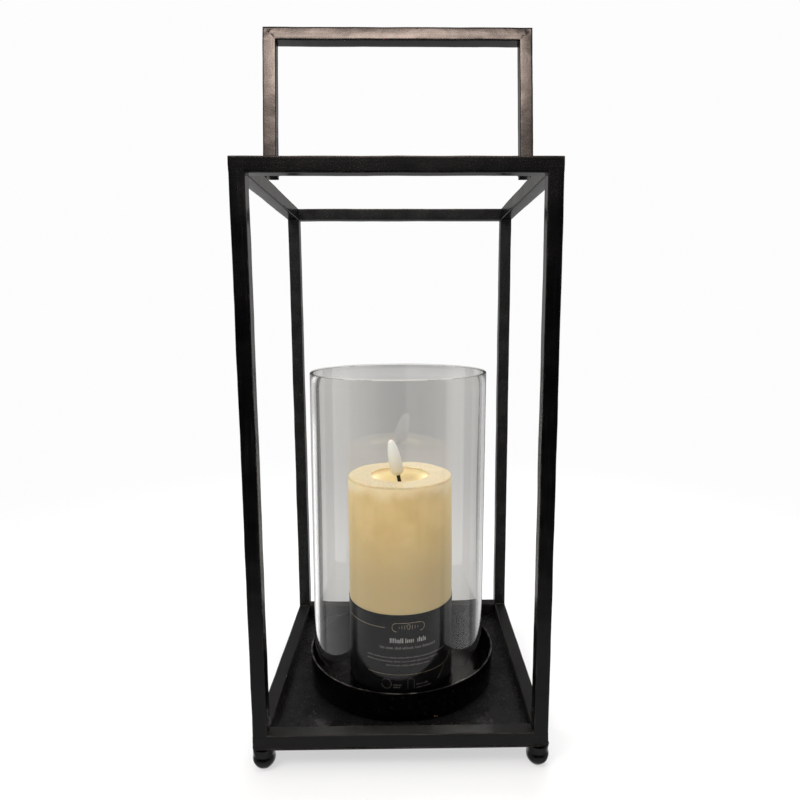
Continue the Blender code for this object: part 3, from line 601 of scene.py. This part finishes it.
# -------- frame and handle
def build_bar(node, body, turn=None):
    """A bar of the CAD in short slices, with slightly wavy faces and its long edges marked for wear."""
    shape = cad_shape(node)
    turn = turn or Matrix.Identity(3)
    shape.transform(turn.inverted().to_4x4())
    low = Vector([min(v.co[i] for v in shape.verts) for i in range(3)])
    high = Vector([max(v.co[i] for v in shape.verts) for i in range(3)])
    size = high - low
    along = max(range(3), key=lambda i: size[i])
    middle = (low + high) / 2
    inset = BAR / 2 - 1.3 * MM
    bulge = HANDLE_BULGE if body == "handle" else BULGE
    for axis in range(3):
        if axis == along:
            slice_shape(shape, axis, steps_between(low[axis], high[axis], 2 * MM))
        else:
            slice_shape(shape, axis, [middle[axis] - inset, middle[axis], middle[axis] + inset])
    layer = shape.verts.layers.float.new("edge")
    sides = [axis for axis in range(3) if axis != along]
    for vert in shape.verts:
        from_middle = [abs(vert.co[axis] - middle[axis]) for axis in sides]
        vert[layer] = 1.0 if min(from_middle) > BAR / 2 - 0.9 * MM else 0.0
        for axis, off in zip(sides, reversed(from_middle)):
            if off < 0.1 * MM:
                vert.co[axis] += math.copysign(bulge, vert.co[axis] - middle[axis])
    if node.startswith("post"):
        blend_ends(shape, low, high, middle)
    shape.transform(turn.to_4x4())
    for vert in shape.verts:
        vert.co += uneven(vert.co, 26 * MM, 0.22 * MM) + uneven(vert.co, 7 * MM, 0.06 * MM)
    paint = PAINT_HANDLE if body == "handle" else PAINT
    # painted light: the rear bars take the paler rear paint, for the overhead light on them
    if node in ("post_back_left", "post_back_right", "rail_top_back"):
        paint = PAINT_REAR_LIT
    elif node.startswith("rail_bottom"):
        paint = PAINT_LOW
    show(f"{node}_worked", shape, body, paint[along], [node], 32)


def blend_ends(shape, low, high, middle):
    """Runs a post a little way into both rings, a hair proud of them, as where the weld was ground flush."""
    overlap, proud = 1.9 * MM, 0.04 * MM
    for vert in shape.verts:
        if vert.co.z > high.z - 0.5 * MM:
            vert.co.z += overlap
        elif vert.co.z < low.z + 0.5 * MM:
            vert.co.z -= overlap
        for axis in (X_AXIS, Y_AXIS):
            vert.co[axis] += math.copysign(proud, vert.co[axis] - middle[axis])


def build_frame_bars():
    """Four posts and the two rings of rails."""
    for corner in CORNERS:
        build_bar(f"post_{corner}", "frame")
    for ring in ("top", "bottom"):
        for side in ("front", "back", "left", "right"):
            build_bar(f"rail_{ring}_{side}", "frame")


def build_handle():
    """The handle's bars, sliced square to their own leaning axes."""
    bar = middle_of("handle_top_bar") - PIVOT
    lean = math.atan2(bar.y, bar.z)
    turn = Matrix.Rotation(-lean, 3, "X")
    for node in ("handle_leg_left", "handle_leg_right", "handle_top_bar"):
        build_bar(node, "handle", turn)


def weld_bead(shape, start, end, radius):
    """Adds a lumpy weld from start to end to a shape: overlapping drops of metal run into one bead."""
    start, end = Vector(start), Vector(end)
    along = (end - start).normalized()
    side = along.orthogonal().normalized()
    other = along.cross(side)
    length = (end - start).length + 1.2 * radius
    rounds, spans = 12, 18
    rings = []
    for i in range(spans + 1):
        share = i / spans
        centre = (start + end) / 2 + along * (share - 0.5) * length
        drops = 0.82 + 0.18 * abs(math.sin(share * math.pi * length / (1.7 * MM)))
        reach = radius * drops * math.sqrt(max(0.0, 1 - (2 * share - 1) ** 4))
        ring = []
        for j in range(rounds):
            angle = 2 * math.pi * j / rounds
            out = side * math.cos(angle) + other * math.sin(angle)
            point = centre + out * reach
            ring.append(point + out * noise.noise(point / (1.1 * MM)) * 0.22 * reach)
        rings.append(ring)
    tip_low = shape.verts.new(rings[0][0])
    tip_high = shape.verts.new(rings[-1][0])
    rows = [[shape.verts.new(p) for p in ring] for ring in rings[1:-1]]
    for lower, upper in zip(rows, rows[1:]):
        for j in range(rounds):
            k = (j + 1) % rounds
            shape.faces.new((lower[j], lower[k], upper[k], upper[j]))
    for j in range(rounds):
        k = (j + 1) % rounds
        shape.faces.new((tip_low, rows[0][k], rows[0][j]))
        shape.faces.new((tip_high, rows[-1][j], rows[-1][k]))


def build_welds():
    """Weld beads in the inner corners of both rings, and where the posts meet them."""
    sunk = 0.3 * MM                # the bead's centre sits this far inside the corner's metal
    at = RING_INSIDE + sunk
    near, far = RING_INSIDE + 1.2 * MM, RING_HIGH.x - 1.4 * MM
    for corner, (sx, sy) in CORNERS.items():
        for ring, post_end, up in (("top", FRAME_TOP - BAR, 1), ("bottom", BASE_TOP, -1)):
            shape = bmesh.new()
            z = post_end + up * sunk
            weld_bead(shape, (sx * at, sy * near, z), (sx * at, sy * far, z), 1.0 * MM)
            weld_bead(shape, (sx * near, sy * at, z), (sx * far, sy * at, z), 1.0 * MM)
            first = (sx * at, sy * at, post_end + up * 0.8 * MM)
            last = (sx * at, sy * at, post_end + up * (BAR - 1.2 * MM))
            weld_bead(shape, first, last, 1.1 * MM)
            show(f"weld_{ring}_{corner}", shape, "frame", PAINT_PLAIN, (), 60)


def build_plate():
    """The base sheet, hardly wavy, a little low between its edges."""
    shape = cad_shape("base_plate")
    low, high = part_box("base_plate")
    for axis in (X_AXIS, Y_AXIS):
        slice_shape(shape, axis, steps_between(low[axis], high[axis], 4 * MM))
    for vert in shape.verts:
        from_ring = RING_INSIDE - max(abs(vert.co.x), abs(vert.co.y))
        inside = max(0.0, min(1.0, from_ring / (12 * MM)))
        vert.co.z -= inside * 0.25 * MM * (0.5 + noise.noise(vert.co / (38 * MM)))
    show("base_plate_sheet", shape, "frame", PAINT_PLATE, ["base_plate"], 40)


def build_feet():
    """Ball feet, cast a little rough, with a lumpy weld round the neck."""
    for corner in CORNERS:
        node = f"foot_{corner}"
        radius, top = round_size(node)
        flat = 2.5 * MM
        neck = 6.7 * MM
        down = math.degrees(math.acos(flat / radius))
        up = math.degrees(math.acos(neck / radius))
        centre = radius * math.sin(down * DEGREE)
        outline = [(0, top)] + line((1 * MM, top), (neck + 0.3 * MM, top), 4)
        outline += line((neck + 0.3 * MM, top), (neck, centre + radius * math.sin(up * DEGREE)), 6)
        outline += arc((0, centre), radius, up, -down, 26) + [(flat / 2, 0), (0, 0)]
        corner_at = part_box(node)[0]
        seed = corner_at.x * 100 + corner_at.y * 37

        def rough(r, height, angle):
            near_neck = max(0.0, 1 - (top - height) / (5 * MM))
            lumps = angle_noise(angle, height, 1.6, 3 * MM, seed) * (0.14 + 0.16 * near_neck) * MM
            fade = min(1.0, height / (1.5 * MM))
            return (lumps - 0.15 * MM) * fade, 0

        shape = lathe(outline, foot_of(node), 72, rough, closed=False)
        show(f"{node}_cast", shape, "frame", PAINT_PLAIN, [node], 60)


def build_dish():
    """The pressed pan: thin wall, rolled rim, soft inner corner."""
    outer, height = round_size("candle_dish")
    bend = 2.5 * MM
    inner = outer - DISH_SHEET
    outline = arc((outer - DISH_SHEET / 2, height - DISH_SHEET / 2), DISH_SHEET / 2, 180, 0, 10)
    outline += line((outer, height - 2 * MM), (outer, bend + 1 * MM), 6)
    outline += arc((outer - bend, bend), bend, 0, -90, 8)
    outline += line((outer - bend - 2 * MM, 0), (0, 0), 10) + [(0, 0), (0, DISH_SHEET)]
    outline += line((4 * MM, DISH_SHEET), (inner - bend, DISH_SHEET), 10)
    outline += arc((inner - (bend - DISH_SHEET), bend), bend - DISH_SHEET, -90, 0, 8)
    outline += line((inner, bend + 1 * MM), (inner, height - 1 * MM), 6)

    def dents(radius, up, angle):
        if radius < outer - bend:
            return 0, 0
        rise = up / height
        outward = (angle_noise(angle, up, 2.2, 60 * MM, 5.0) * 0.28 - 0.15) * MM * rise
        upward = (angle_noise(angle, 0, 3.5, 1, 9.0) * 0.10 - 0.05) * MM * rise ** 3
        return outward, upward

    shape = lathe(outline, foot_of("candle_dish"), 288, dents)
    show("candle_dish_pressed", shape, "frame", PAINT_DISH, ["candle_dish"], 50)


def build_hinges():
    """Lugs with softened edges and rivets with hammered domed heads."""
    for side_name, side in (("left", -1), ("right", 1)):
        node = f"hinge_tab_{side_name}"
        tab = cad_shape(node)
        outline_edges = [e for e in tab.edges if e.is_manifold and e.calc_face_angle(0) > 60 * DEGREE]
        bmesh.ops.bevel(tab, geom=outline_edges, offset=0.35 * MM, segments=3, profile=0.5, affect="EDGES")
        layer = tab.verts.layers.float.new("edge")
        low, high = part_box(node)
        for vert in tab.verts:
            from_face = min(vert.co.x - low.x, high.x - vert.co.x)
            vert[layer] = 1.0 if 0.05 * MM < from_face < 0.3 * MM else 0.0
        show(f"{node}_bevelled", tab, "frame", PAINT[Z_AXIS], [node], 40)

        node = f"hinge_rivet_{side_name}"
        low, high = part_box(node)
        rise = 1.7 * MM
        head = (high.z - low.z) / 2
        shank = 1.75 * MM
        length = high.x - low.x
        upper = [(head * math.sin(a * DEGREE), length - rise + rise * math.cos(a * DEGREE))
                 for a in range(6, 91, 6)]
        lower = [(r, length - h) for r, h in reversed(upper)]
        outline = [(0, length)] + upper + [(shank, length - rise), (shank, rise)] + lower + [(0, 0)]

        def hammered(radius, height, angle):
            flats = angle_noise(angle, height, 1.3, 2 * MM, 3.0 + side)
            return flats * 0.12 * MM - 0.08 * MM, 0

        shape = lathe(outline, Vector((0, 0, 0)), 64, hammered, closed=False)
        lay_down = Matrix.Translation((low.x, PIVOT.y, PIVOT.z)) @ Matrix.Rotation(math.pi / 2, 4, "Y")
        shape.transform(lay_down)
        show(f"{node}_domed", shape, "frame", PAINT_PLAIN, [node], 50)


# -------- glass
def build_glass():
    """Hand-finished tube: rims that dip a little, walls that vary in thickness, foot a little to the left."""
    outer, height = round_size("glass_cylinder")
    edge = GLASS_WALL / 2
    middle = outer - edge
    inner = outer - GLASS_WALL
    outline = arc((middle, height - edge), edge, 180, 0, 14)
    outline += line((outer, height - edge - 3 * MM), (outer, edge + 3 * MM), 44)
    outline += arc((middle, edge), edge, 0, -180, 14)
    outline += line((inner, edge + 3 * MM), (inner, height - edge - 3 * MM), 44)

    def hand_made(radius, up, angle):
        at_rim = max(0.0, 1 - (height - up) / (9 * MM))
        dip = (angle_noise(angle, 0, 3.0, 1, 2.0) * 0.22 - 0.12) * MM * at_rim
        if radius > middle:
            return (angle_noise(angle, up, 2.0, 120 * MM, 7.0) * 0.05 - 0.05) * MM, dip
        return angle_noise(angle, up, 3.0, 150 * MM, 4.0) * 0.07 * MM, dip

    shape = lathe(outline, foot_of("glass_cylinder"), AROUND, hand_made)
    top = foot_of("glass_cylinder").z + height
    for vert in shape.verts:
        vert.co.x -= GLASS_LEAN * (top - vert.co.z) / height
    show("glass_cylinder_blown", shape, "glass", GLASS, ["glass_cylinder"], 60)


# -------- candle
def build_wax():
    """The pillar: softly uneven rim and side, a scooped well, a hollow underside."""
    outer, height = round_size("wax_shell")
    rim = 1.2 * MM
    foot = 0.6 * MM
    bore = 33 * MM
    bore_top = 92 * MM
    label_top = LABEL_FOOT.z + LABEL_HEIGHT - foot_of("wax_shell").z
    outline = line((WELL_RADIUS + 1.2 * MM, height), (outer - rim, height), 16)
    outline += arc((outer - rim, height - rim), rim, 90, 0, 8)
    outline += line((outer, height - rim - 1 * MM), (outer, foot + 1 * MM), 70)
    outline += arc((outer - foot, foot), foot, 0, -90, 3)
    outline += [(bore, 0), (bore, bore_top), (SOCKET_RADIUS, bore_top)]
    outline += line((SOCKET_RADIUS, height - WELL_DEPTH - 2 * MM), (SOCKET_RADIUS, height - WELL_DEPTH), 2)
    outline += well_points(height, 26)

    def softened(radius, up, angle):
        hidden = radius < bore and up < height - 20 * MM
        if hidden or radius < SOCKET_RADIUS + 0.1 * MM or up < label_top + 1 * MM:
            return 0, 0
        near_top = max(0.0, 1 - (height - up) / (14 * MM))
        side = (angle_noise(angle, up, 1.4, 55 * MM, 11.0) - 0.5) * 0.30 * MM
        side += angle_noise(angle, up, 5.0, 16 * MM, 3.0) * 0.07 * MM
        side *= min(1.0, (up - label_top - 1 * MM) / (6 * MM))
        outward = side + (angle_noise(angle, up, 2.6, 9 * MM, 6.0) - 0.5) * 0.40 * MM * near_top
        share = max(0.0, min(1.0, (radius - SOCKET_RADIUS) / (10 * MM)))
        upward = (angle_noise(angle, radius, 2.0, 14 * MM, 8.0) * 0.45 - 0.3) * MM * near_top * share
        if radius < outer - 2 * MM:
            outward = angle_noise(angle, radius, 2.2, 30 * MM, 21.0) * 0.55 * MM * near_top * share
        return outward, upward

    shape = lathe(outline, foot_of("wax_shell"), AROUND, softened)
    show("wax_shell_poured", shape, "candle", WAX, ["wax_shell"], 50)


def well_points(height, count):
    """The well from its floor out to its lip: flat in the middle and steep at the side."""
    points = []
    for i in range(1, count + 1):
        radius = SOCKET_RADIUS + (WELL_RADIUS - SOCKET_RADIUS) * math.sin(i / count * math.pi / 2)
        share = (radius - SOCKET_RADIUS) / (WELL_RADIUS - SOCKET_RADIUS)
        rise = WELL_DEPTH * (1 - math.sqrt(max(0.0, 1 - share ** 2.2)))
        points.append((radius, height - WELL_DEPTH + min(rise, WELL_DEPTH - 0.35 * MM)))
    return points


# -------- label and its print
def build_label():
    """The paper sleeve with an overlapped seam at the back."""
    height = LABEL_HEIGHT
    inner = LABEL_RADIUS - LABEL_PAPER
    soft = 0.08 * MM
    outline = [(inner, height), (LABEL_RADIUS - soft, height), (LABEL_RADIUS, height - soft)]
    outline += line((LABEL_RADIUS, height - 2 * MM), (LABEL_RADIUS, 2 * MM), 24)
    outline += [(LABEL_RADIUS, soft), (LABEL_RADIUS - soft, 0), (inner, 0)]

    def wavy(radius, up, angle):
        if radius <= inner:
            return 0, 0
        seam = 0.03 if 90 < math.degrees(angle) < 99 else 0.0
        return (angle_noise(angle, up, 2.0, 30 * MM, 1.0) * 0.03 - 0.04 + seam) * MM, 0

    shape = lathe(outline, LABEL_FOOT, AROUND, wavy)
    show("paper_label_sleeve", shape, "candle", LABEL, ["paper_label"], 50)


def add_stroke(shape, points, width):
    """Adds a flat stroke along (along, up) points on the label, in millimetres from its front and its foot.
    It stands 0.03 mm proud and reaches into the paper."""
    proud, sunk = 0.03, -0.09
    rows = []
    for i, (along, up) in enumerate(points):
        before = points[max(i - 1, 0)]
        after = points[min(i + 1, len(points) - 1)]
        run, rise = after[0] - before[0], after[1] - before[1]
        length = math.hypot(run, rise)
        side = (-rise / length * width / 2, run / length * width / 2)
        row = []
        for sign, lift in ((1, proud), (-1, proud), (-1, sunk), (1, sunk)):
            angle = (along + sign * side[0]) * MM / LABEL_RADIUS
            radius = LABEL_RADIUS + lift * MM
            spot = Vector((radius * math.sin(angle), -radius * math.cos(angle), (up + sign * side[1]) * MM))
            row.append(shape.verts.new(LABEL_FOOT + spot))
        rows.append(row)
    for first, second in zip(rows, rows[1:]):
        for i in range(4):
            j = (i + 1) % 4
            shape.faces.new((first[i], first[j], second[j], second[i]))
    shape.faces.new(rows[0])
    shape.faces.new(rows[-1][::-1])


def straight(start, end, step=1.5):
    """Points from start to end, about a step apart."""
    length = math.hypot(end[0] - start[0], end[1] - start[1])
    return line(start, end, max(1, round(length / step))) + [end]


def rounded_frame(left, right, low, high, corner):
    """Points round a rectangle with rounded corners, not quite closing, so the stroke stays one body."""
    points = []
    for cx, cy, start in ((right - corner, high - corner, 90), (right - corner, low + corner, 0),
                          (left + corner, low + corner, -90), (left + corner, high - corner, -180)):
        points += arc((cx, cy), corner, start, start - 90, 8)
    return points + straight(points[-1], (points[0][0] - 0.02, points[0][1]))[1:]


def greeked_line(shape, left, right, low, height, draw):
    """Adds a row of plain upright bars in groups: they stand for printed words and are no letters."""
    at = left
    while at < right - height * 0.5:
        word_end = min(right, at + height * draw.uniform(1.6, 5.0))
        while at < word_end - height * 0.2:
            bar = height * draw.uniform(0.16, 0.30)
            tall = height * draw.choice((0.72, 0.72, 1.0))
            add_stroke(shape, [(at + bar / 2, low), (at + bar / 2, low + tall)], bar)
            at += bar + height * 0.17
        at = word_end + height * 0.42


def flame_mark(shape, left, right, low, high):
    """Adds a small flame in outline and a few rays, as a plain sign for a candle."""
    pen = 0.28
    height = (high - low) * 0.62
    centre = (left + right) / 2
    base = (low + high) / 2 - height / 2
    outline = []
    for i in range(25):
        turn = 2 * math.pi * i / 25
        width = height * 0.28 * math.sin(turn) * (1 - 0.5 * math.cos(turn))
        outline.append((centre + width, base + height * (1 - math.cos(turn)) / 2 + 0.001 * i))
    add_stroke(shape, outline[1:], pen)
    for side in (-1, 1):
        for i in range(3):
            x = centre + side * (2.6 + 1.9 * i)
            reach = height * (0.42 - 0.11 * i)
            add_stroke(shape, [(x, base + height / 2 - reach), (x, base + height / 2 + reach)], pen)


LOGO_FRAME = (-5.6, 16.9, 45.9, 52.0)            # left, right, low, high
TITLE_LINE = (-7.2, 18.9, 37.7, 3.4)             # left, right, low, height, as in the next
SMALL_LINES = (
    (-14.5, 26.0, 33.1, 1.9),
    (-24.5, 35.0, 26.4, 1.15),
    (-24.5, 28.5, 23.6, 1.15),
    (-10.0, 21.0, 20.8, 1.15),
    (-5.1, 0.7, 6.4, 1.1),
    (-5.1, 0.7, 4.6, 1.1),
    (10.9, 19.5, 6.0, 1.1),
    (10.9, 22.0, 3.6, 1.1),
)
CELL_MARK = ((5.0, 3.6), (5.0, 10.4), (6.2, 10.4), (6.2, 11.2), (8.2, 11.2), (8.2, 10.4), (9.4, 10.4),
             (9.4, 3.6))


def build_print():
    """Foil lines and frame, and greeked text in place of the words. Places are (along, up) in millimetres."""
    draw = random.Random(7)
    foil = bmesh.new()
    add_stroke(foil, straight((-46, 48.4), (-10.3, 48.4)), 0.36)
    upturn = [(x, 14.2 + 0.028 * (x - 33) ** 2) for x in range(35, 47, 2)]
    add_stroke(foil, straight((-24.3, 14.4), (33, 14.2)) + upturn, 0.34)
    add_stroke(foil, straight((35.2, 12.7), (28.6, 5.6)), 0.24)
    add_stroke(foil, rounded_frame(*LOGO_FRAME, 2.9), 0.36)
    flame_mark(foil, *LOGO_FRAME)
    show("label_foil", foil, "candle", FOIL)

    title = bmesh.new()
    greeked_line(title, *TITLE_LINE, draw)
    show("label_title", title, "candle", INK)

    small = bmesh.new()
    for printed in SMALL_LINES:
        greeked_line(small, *printed, draw)
    add_stroke(small, arc((-9.9, 7.4), 3.5, 150, -175, 40), 0.30)
    add_stroke(small, CELL_MARK, 0.28)
    show("label_small_print", small, "candle", INK_DIM)


# -------- flame
def build_flame():
    """The frosted bulb and the wick, leaning together about the wick's foot."""
    tip = middle_of("flame_bulb") - WICK_PIVOT
    lean = math.atan2(tip.x, tip.z)
    place = Matrix.Translation(WICK_PIVOT) @ Matrix.Rotation(lean, 4, "Y")
    length, half, wall, start = 26.2 * MM, 4.7 * MM, 0.9 * MM, 6.4 * MM
    mouth = 1.5 * MM
    outer = [p for p in flame_outline(half, length, 44) if p[0] > mouth or p[1] > length / 2]
    inner = [(r, h + wall) for r, h in flame_outline(half - wall, length - 3 * wall, 30)
             if r > mouth or h > length / 2]
    outline = outer + [(mouth + 0.1 * MM, outer[-1][1] * 0.4), (mouth, wall)] + inner[::-1]

    def soft(radius, up, angle):
        fade = min(1.0, radius / (2 * MM))
        return angle_noise(angle, up, 0.9, 14 * MM, 12.0) * 0.22 * MM * fade, 0

    shape = lathe(outline, Vector((0, 0, start)), 96, soft, closed=False)
    shape.transform(place)
    show("flame_bulb_frosted", shape, "flame", MILKY, ["flame_bulb"], 60)

    radius = 1.4 * MM
    top = start + 2.2 * MM
    outline = [(0, top), (radius, top)] + line((radius, top - 0.3 * MM), (radius, 0), 40)
    outline += arc((0, 0), radius, 0, -84, 8) + [(0, -radius)]

    def braid(r, up, angle):
        strands = math.sin(3 * angle + up / (0.55 * MM)) + math.sin(3 * angle - up / (0.55 * MM))
        fade = min(1.0, max(0.0, up / (1 * MM)))
        return (strands * 0.04 - 0.05) * MM * fade, 0

    shape = lathe(outline, Vector((0, 0, 0)), 48, braid, closed=False)
    shape.transform(place)
    show("wick_braided", shape, "flame", WICK, ["wick"], 60)


def flame_outline(half, length, count):
    """(radius, height) points of a flame from its tip down: drawn in to a blunt tip, round below."""
    full = 0.15 * length
    points = []
    for i in range(count + 1):
        height = length * (1 + math.cos(math.pi * i / count)) / 2
        if height > full:
            radius = (1 - ((height - full) / (length - full)) ** 2.3) ** 0.43
        else:
            radius = math.sqrt(1 - (1 - height / full) ** 2)
        points.append((radius * half, height))
    points[0] = (0, length)
    return points


def dress_hidden_nodes():
    """Gives the CAD nodes that stay as they are their own materials."""
    for node, material in HIDDEN.items():
        materials = frame["nodes"][node].data.materials
        materials.clear()
        materials.append(material)


# -------- surroundings
BACKDROP = 0.98                # brightness of what the camera sees behind everything
LAMP_STRENGTH = 21.0           # of the patch that the handle's front faces mirror
LAMP_HALO = 2.4                # of the wide glow under that patch
GLASS_SHADE = 0.53             # what the middle of the glass shows behind it
FLAG_DEPTH = 0.48              # how much darker the glass's dark lines are


def surroundings(tree, direction):
    """What glass shows and what a surface mirrors, in a direction away from the lantern: two brightnesses
    and how warm the mirrored one is. Angles: up is above the horizon, to_side is away from straight behind
    the lantern, in_front and from_lamp are away from straight before it. by and window take degrees."""
    parts = add(tree, "SeparateXYZ", {"Vector": direction}).outputs
    path = add(tree, "LightPath").outputs
    round_angle = calc(tree, "ARCTAN2", parts["X"], parts["Y"])
    up = calc(tree, "ARCSINE", parts["Z"])

    def by(value, start, end, low, high):
        return ramp(tree, value, start * DEGREE, end * DEGREE, low, high)

    def times(first, second):
        return product(tree, first, second)

    def plus(first, *others):
        for other in others:
            first = calc(tree, "ADD", first, other)
        return first

    def distance(value, centre=0.0):
        return calc(tree, "ABSOLUTE", plus(value, -centre * DEGREE))

    def window(value, start, full, fade, end, height):
        return times(by(value, start, full, 0.0, height), by(value, fade, end, 1.0, 0.0))

    to_side = distance(round_angle)
    ahead = calc(tree, "ARCTAN2", parts["X"], times(parts["Y"], -1.0))
    in_front = distance(ahead, -1.5)
    from_lamp = calc(tree, "ABSOLUTE", plus(ahead, by(up, 34, 39, 6 * DEGREE, 0.5 * DEGREE)))
    lamp = plus(by(up, 22, 31, 0.0, LAMP_HALO), by(up, 32, 38, 0.0, LAMP_STRENGTH))
    lamp = times(lamp, by(up, 36.5, 44, 1.0, 0.06))
    lamp = times(lamp, by(times(from_lamp, by(up, 36.5, 39.5, 0.45, 1.0)), 2, 16, 1.0, 0.0))
    lamp = times(lamp, calc(tree, "LESS_THAN", path["Glossy Depth"], 1.5))
    glow = times(by(up, 4, 15, 0.0, 0.36), by(up, 20, 30, 1.0, 0.3))
    glow = times(glow, by(in_front, 4, 20, 1.0, 0.2))
    dim_front = plus(by(up, -30, -19, 0.32, 0.008), glow)

    wide = add(tree, "TexNoise", {"W": round_angle, "Scale": 16.0, "Detail": 4.0}, noise_dimensions="1D")
    bands = ramp(tree, wide.outputs["Fac"], 0.35, 0.65, -0.022, 0.022)
    spot = times(by(distance(round_angle, 0.8), 1, 6, -0.08, 0.0), by(distance(up, -9.5), 2, 5, 1.0, 0.0))
    by_height = plus(by(up, -22, -13, 0.11, 0.0), by(up, -7.5, -5, 0.0, 0.09), by(up, -27, -23, -0.06, 0.0))
    dark_line = window(to_side, 14.3, 15.0, 18, 22, -FLAG_DEPTH)
    in_edge = plus(window(to_side, 30, 36, 44, 47, 0.20), window(to_side, 46.5, 49, 63, 67, -FLAG_DEPTH),
                   window(to_side, 66, 72, 95, 115, 0.25))
    was_mirrored = calc(tree, "GREATER_THAN", path["Glossy Depth"], 0.5)
    one_wall = calc(tree, "LESS_THAN", path["Transmission Depth"], 2.5)
    leftwards = times(window(times(round_angle, -1.0), 29, 36, 44, 47, 1.0), one_wall)
    seen = plus(bands, spot, GLASS_SHADE, dark_line, times(in_edge, was_mirrored),
                times(leftwards, by(up, -11, -8, 1.16, 0.16)), by_height)

    inner = by(to_side, 6, 20, 0.18, 0.62)
    behind = plus(times(by(up, -26, -15, 1.0, 0.0), 0.24), times(inner, by(up, 12, 32, 1.0, 0.40)))
    rear = blend_values(tree, by(to_side, 45, 75, 0.0, 1.0), behind, by(up, -12, 6, 0.20, 0.70))
    turned_away = by(to_side, 100, 140, 0.0, 1.0)
    seen = blend_values(tree, times(turned_away, was_mirrored), seen, dim_front)
    mirrored = blend_values(tree, turned_away, rear, plus(dim_front, lamp))
    return seen, mirrored, times(turned_away, by(up, 12, 34, 0.0, 1.0))


def build_world():
    world = bpy.data.worlds.new("studio")
    bpy.context.scene.world = world
    world.use_nodes = True
    tree = world.node_tree
    tree.nodes.clear()
    direction = add(tree, "TexCoord").outputs["Generated"]
    seen, mirrored, warmth = surroundings(tree, direction)
    rays = add(tree, "LightPath").outputs
    up = add(tree, "SeparateXYZ", {"Vector": direction}).outputs["Z"]
    strength = ramp(tree, up, -0.5, 0.8, 0.30, 0.95)
    for kind, value in (("Glossy", mirrored), ("Transmission", seen), ("Camera", BACKDROP)):
        strength = blend_values(tree, rays[f"Is {kind} Ray"], strength, value)
    warmth = product(tree, warmth, rays["Is Glossy Ray"])
    tint = layered(tree, (1.0, 0.985, 0.965), (warmth, (1.0, 0.79, 0.68)),
                   (rays["Is Camera Ray"], (1.0, 1.0, 1.0)))
    background = add(tree, "Background", {"Color": tint, "Strength": strength})
    add(tree, "OutputWorld", {"Surface": background.outputs[0]}, is_active_output=True)


def build_floor():
    """A large pale disc that fades into the backdrop and shows mirrors and glass the same surroundings."""
    shape = bmesh.new()
    bmesh.ops.create_circle(shape, cap_ends=True, radius=4.0, segments=96)
    floor = new_object("floor", mesh_of("floor", shape))

    material, tree = new_material("floor_pale")
    uneven_pale = blend_colours(tree, cloud(tree, 9.0), (0.80, 0.80, 0.80), (0.83, 0.83, 0.83))
    finish(material, Base_Color=uneven_pale, Roughness=0.8, Specular_IOR_Level=0.1)
    geometry = add(tree, "NewGeometry").outputs
    away = add(tree, "VectorMath", {0: geometry["Incoming"], "Scale": -1.0}, operation="SCALE")
    seen, mirrored, _ = surroundings(tree, away.outputs[0])
    far = add(tree, "VectorMath", {0: geometry["Position"]}, operation="LENGTH").outputs["Value"]
    rays = add(tree, "LightPath").outputs
    backdrop = add(tree, "Emission", {"Color": (BACKDROP,) * 3})
    paint = tree.nodes["Principled BSDF"].outputs[0]
    both = blend_shaders(tree, ramp(tree, far, 0.05, 0.8, 0.55, 1.0), paint, backdrop.outputs[0])
    for kind, value in (("Glossy", mirrored), ("Transmission", seen)):
        shown = add(tree, "Emission", {"Strength": value})
        both = blend_shaders(tree, rays[f"Is {kind} Ray"], both, shown.outputs[0])
    tree.links.new(both, tree.nodes["Material Output"].inputs["Surface"])
    floor.data.materials.append(material)


def area_light(name, place, target, width, height, power, colour=(1, 1, 1)):
    lamp = bpy.data.lights.new(name, "AREA")
    lamp.shape = "RECTANGLE"
    lamp.size = width
    lamp.size_y = height
    lamp.energy = power
    lamp.color = colour
    made = new_object(name, lamp)
    made.location = place
    made.rotation_euler = (Vector(target) - Vector(place)).to_track_quat("-Z", "Y").to_euler()
    return made


def build_lights():
    top = Vector((0, 0, CAD_BOX[1].z))
    for lamp in (area_light("softbox_front", (-0.72, -0.75, 1.25), top, 0.62, 0.50, 11.0, (1.0, 0.985, 0.96)),
                 area_light("softbox_top", (0.0, 0.10, 1.7), (0, 0, 0.2), 1.0, 0.8, 6.0),
                 area_light("softbox_back", (0.25, 0.95, 0.95), (0, 0, 0.15), 0.8, 0.6, 9.0)):
        lamp.visible_glossy = False


CAMERA_PLACE = (0.0041, -0.4381, 0.27716)
CAMERA_YAW, CAMERA_PITCH, CAMERA_ROLL = -0.873, -8.092, -0.18   # degrees: to the right, down, roll
CAMERA_LENS = 28.13            # mm, on a 36 mm wide sensor


def build_camera():
    """The camera of the front view, looking slightly down at the lantern."""
    camera = bpy.data.cameras.new("camera")
    camera.sensor_width = 36
    camera.lens = CAMERA_LENS
    camera.shift_x = -0.0193
    camera.shift_y = 0.00286
    camera.clip_start = 0.01
    made = new_object("camera", camera)
    yaw, pitch, roll = [Matrix.Rotation(angle * DEGREE, 3, axis) for angle, axis in
                        ((CAMERA_YAW, "Z"), (90 + CAMERA_PITCH, "X"), (CAMERA_ROLL, "Z"))]
    made.rotation_euler = (yaw @ pitch @ roll).to_euler()
    made.location = CAMERA_PLACE
    bpy.context.scene.camera = made


for build in (build_frame_bars, build_welds, build_plate, build_feet, build_dish, build_hinges, build_handle,
              build_glass, build_wax, build_label, build_print, build_flame, dress_hidden_nodes, build_world,
              build_floor, build_lights, build_camera):
    build()
bpy.context.scene.view_settings.view_transform = "Standard"
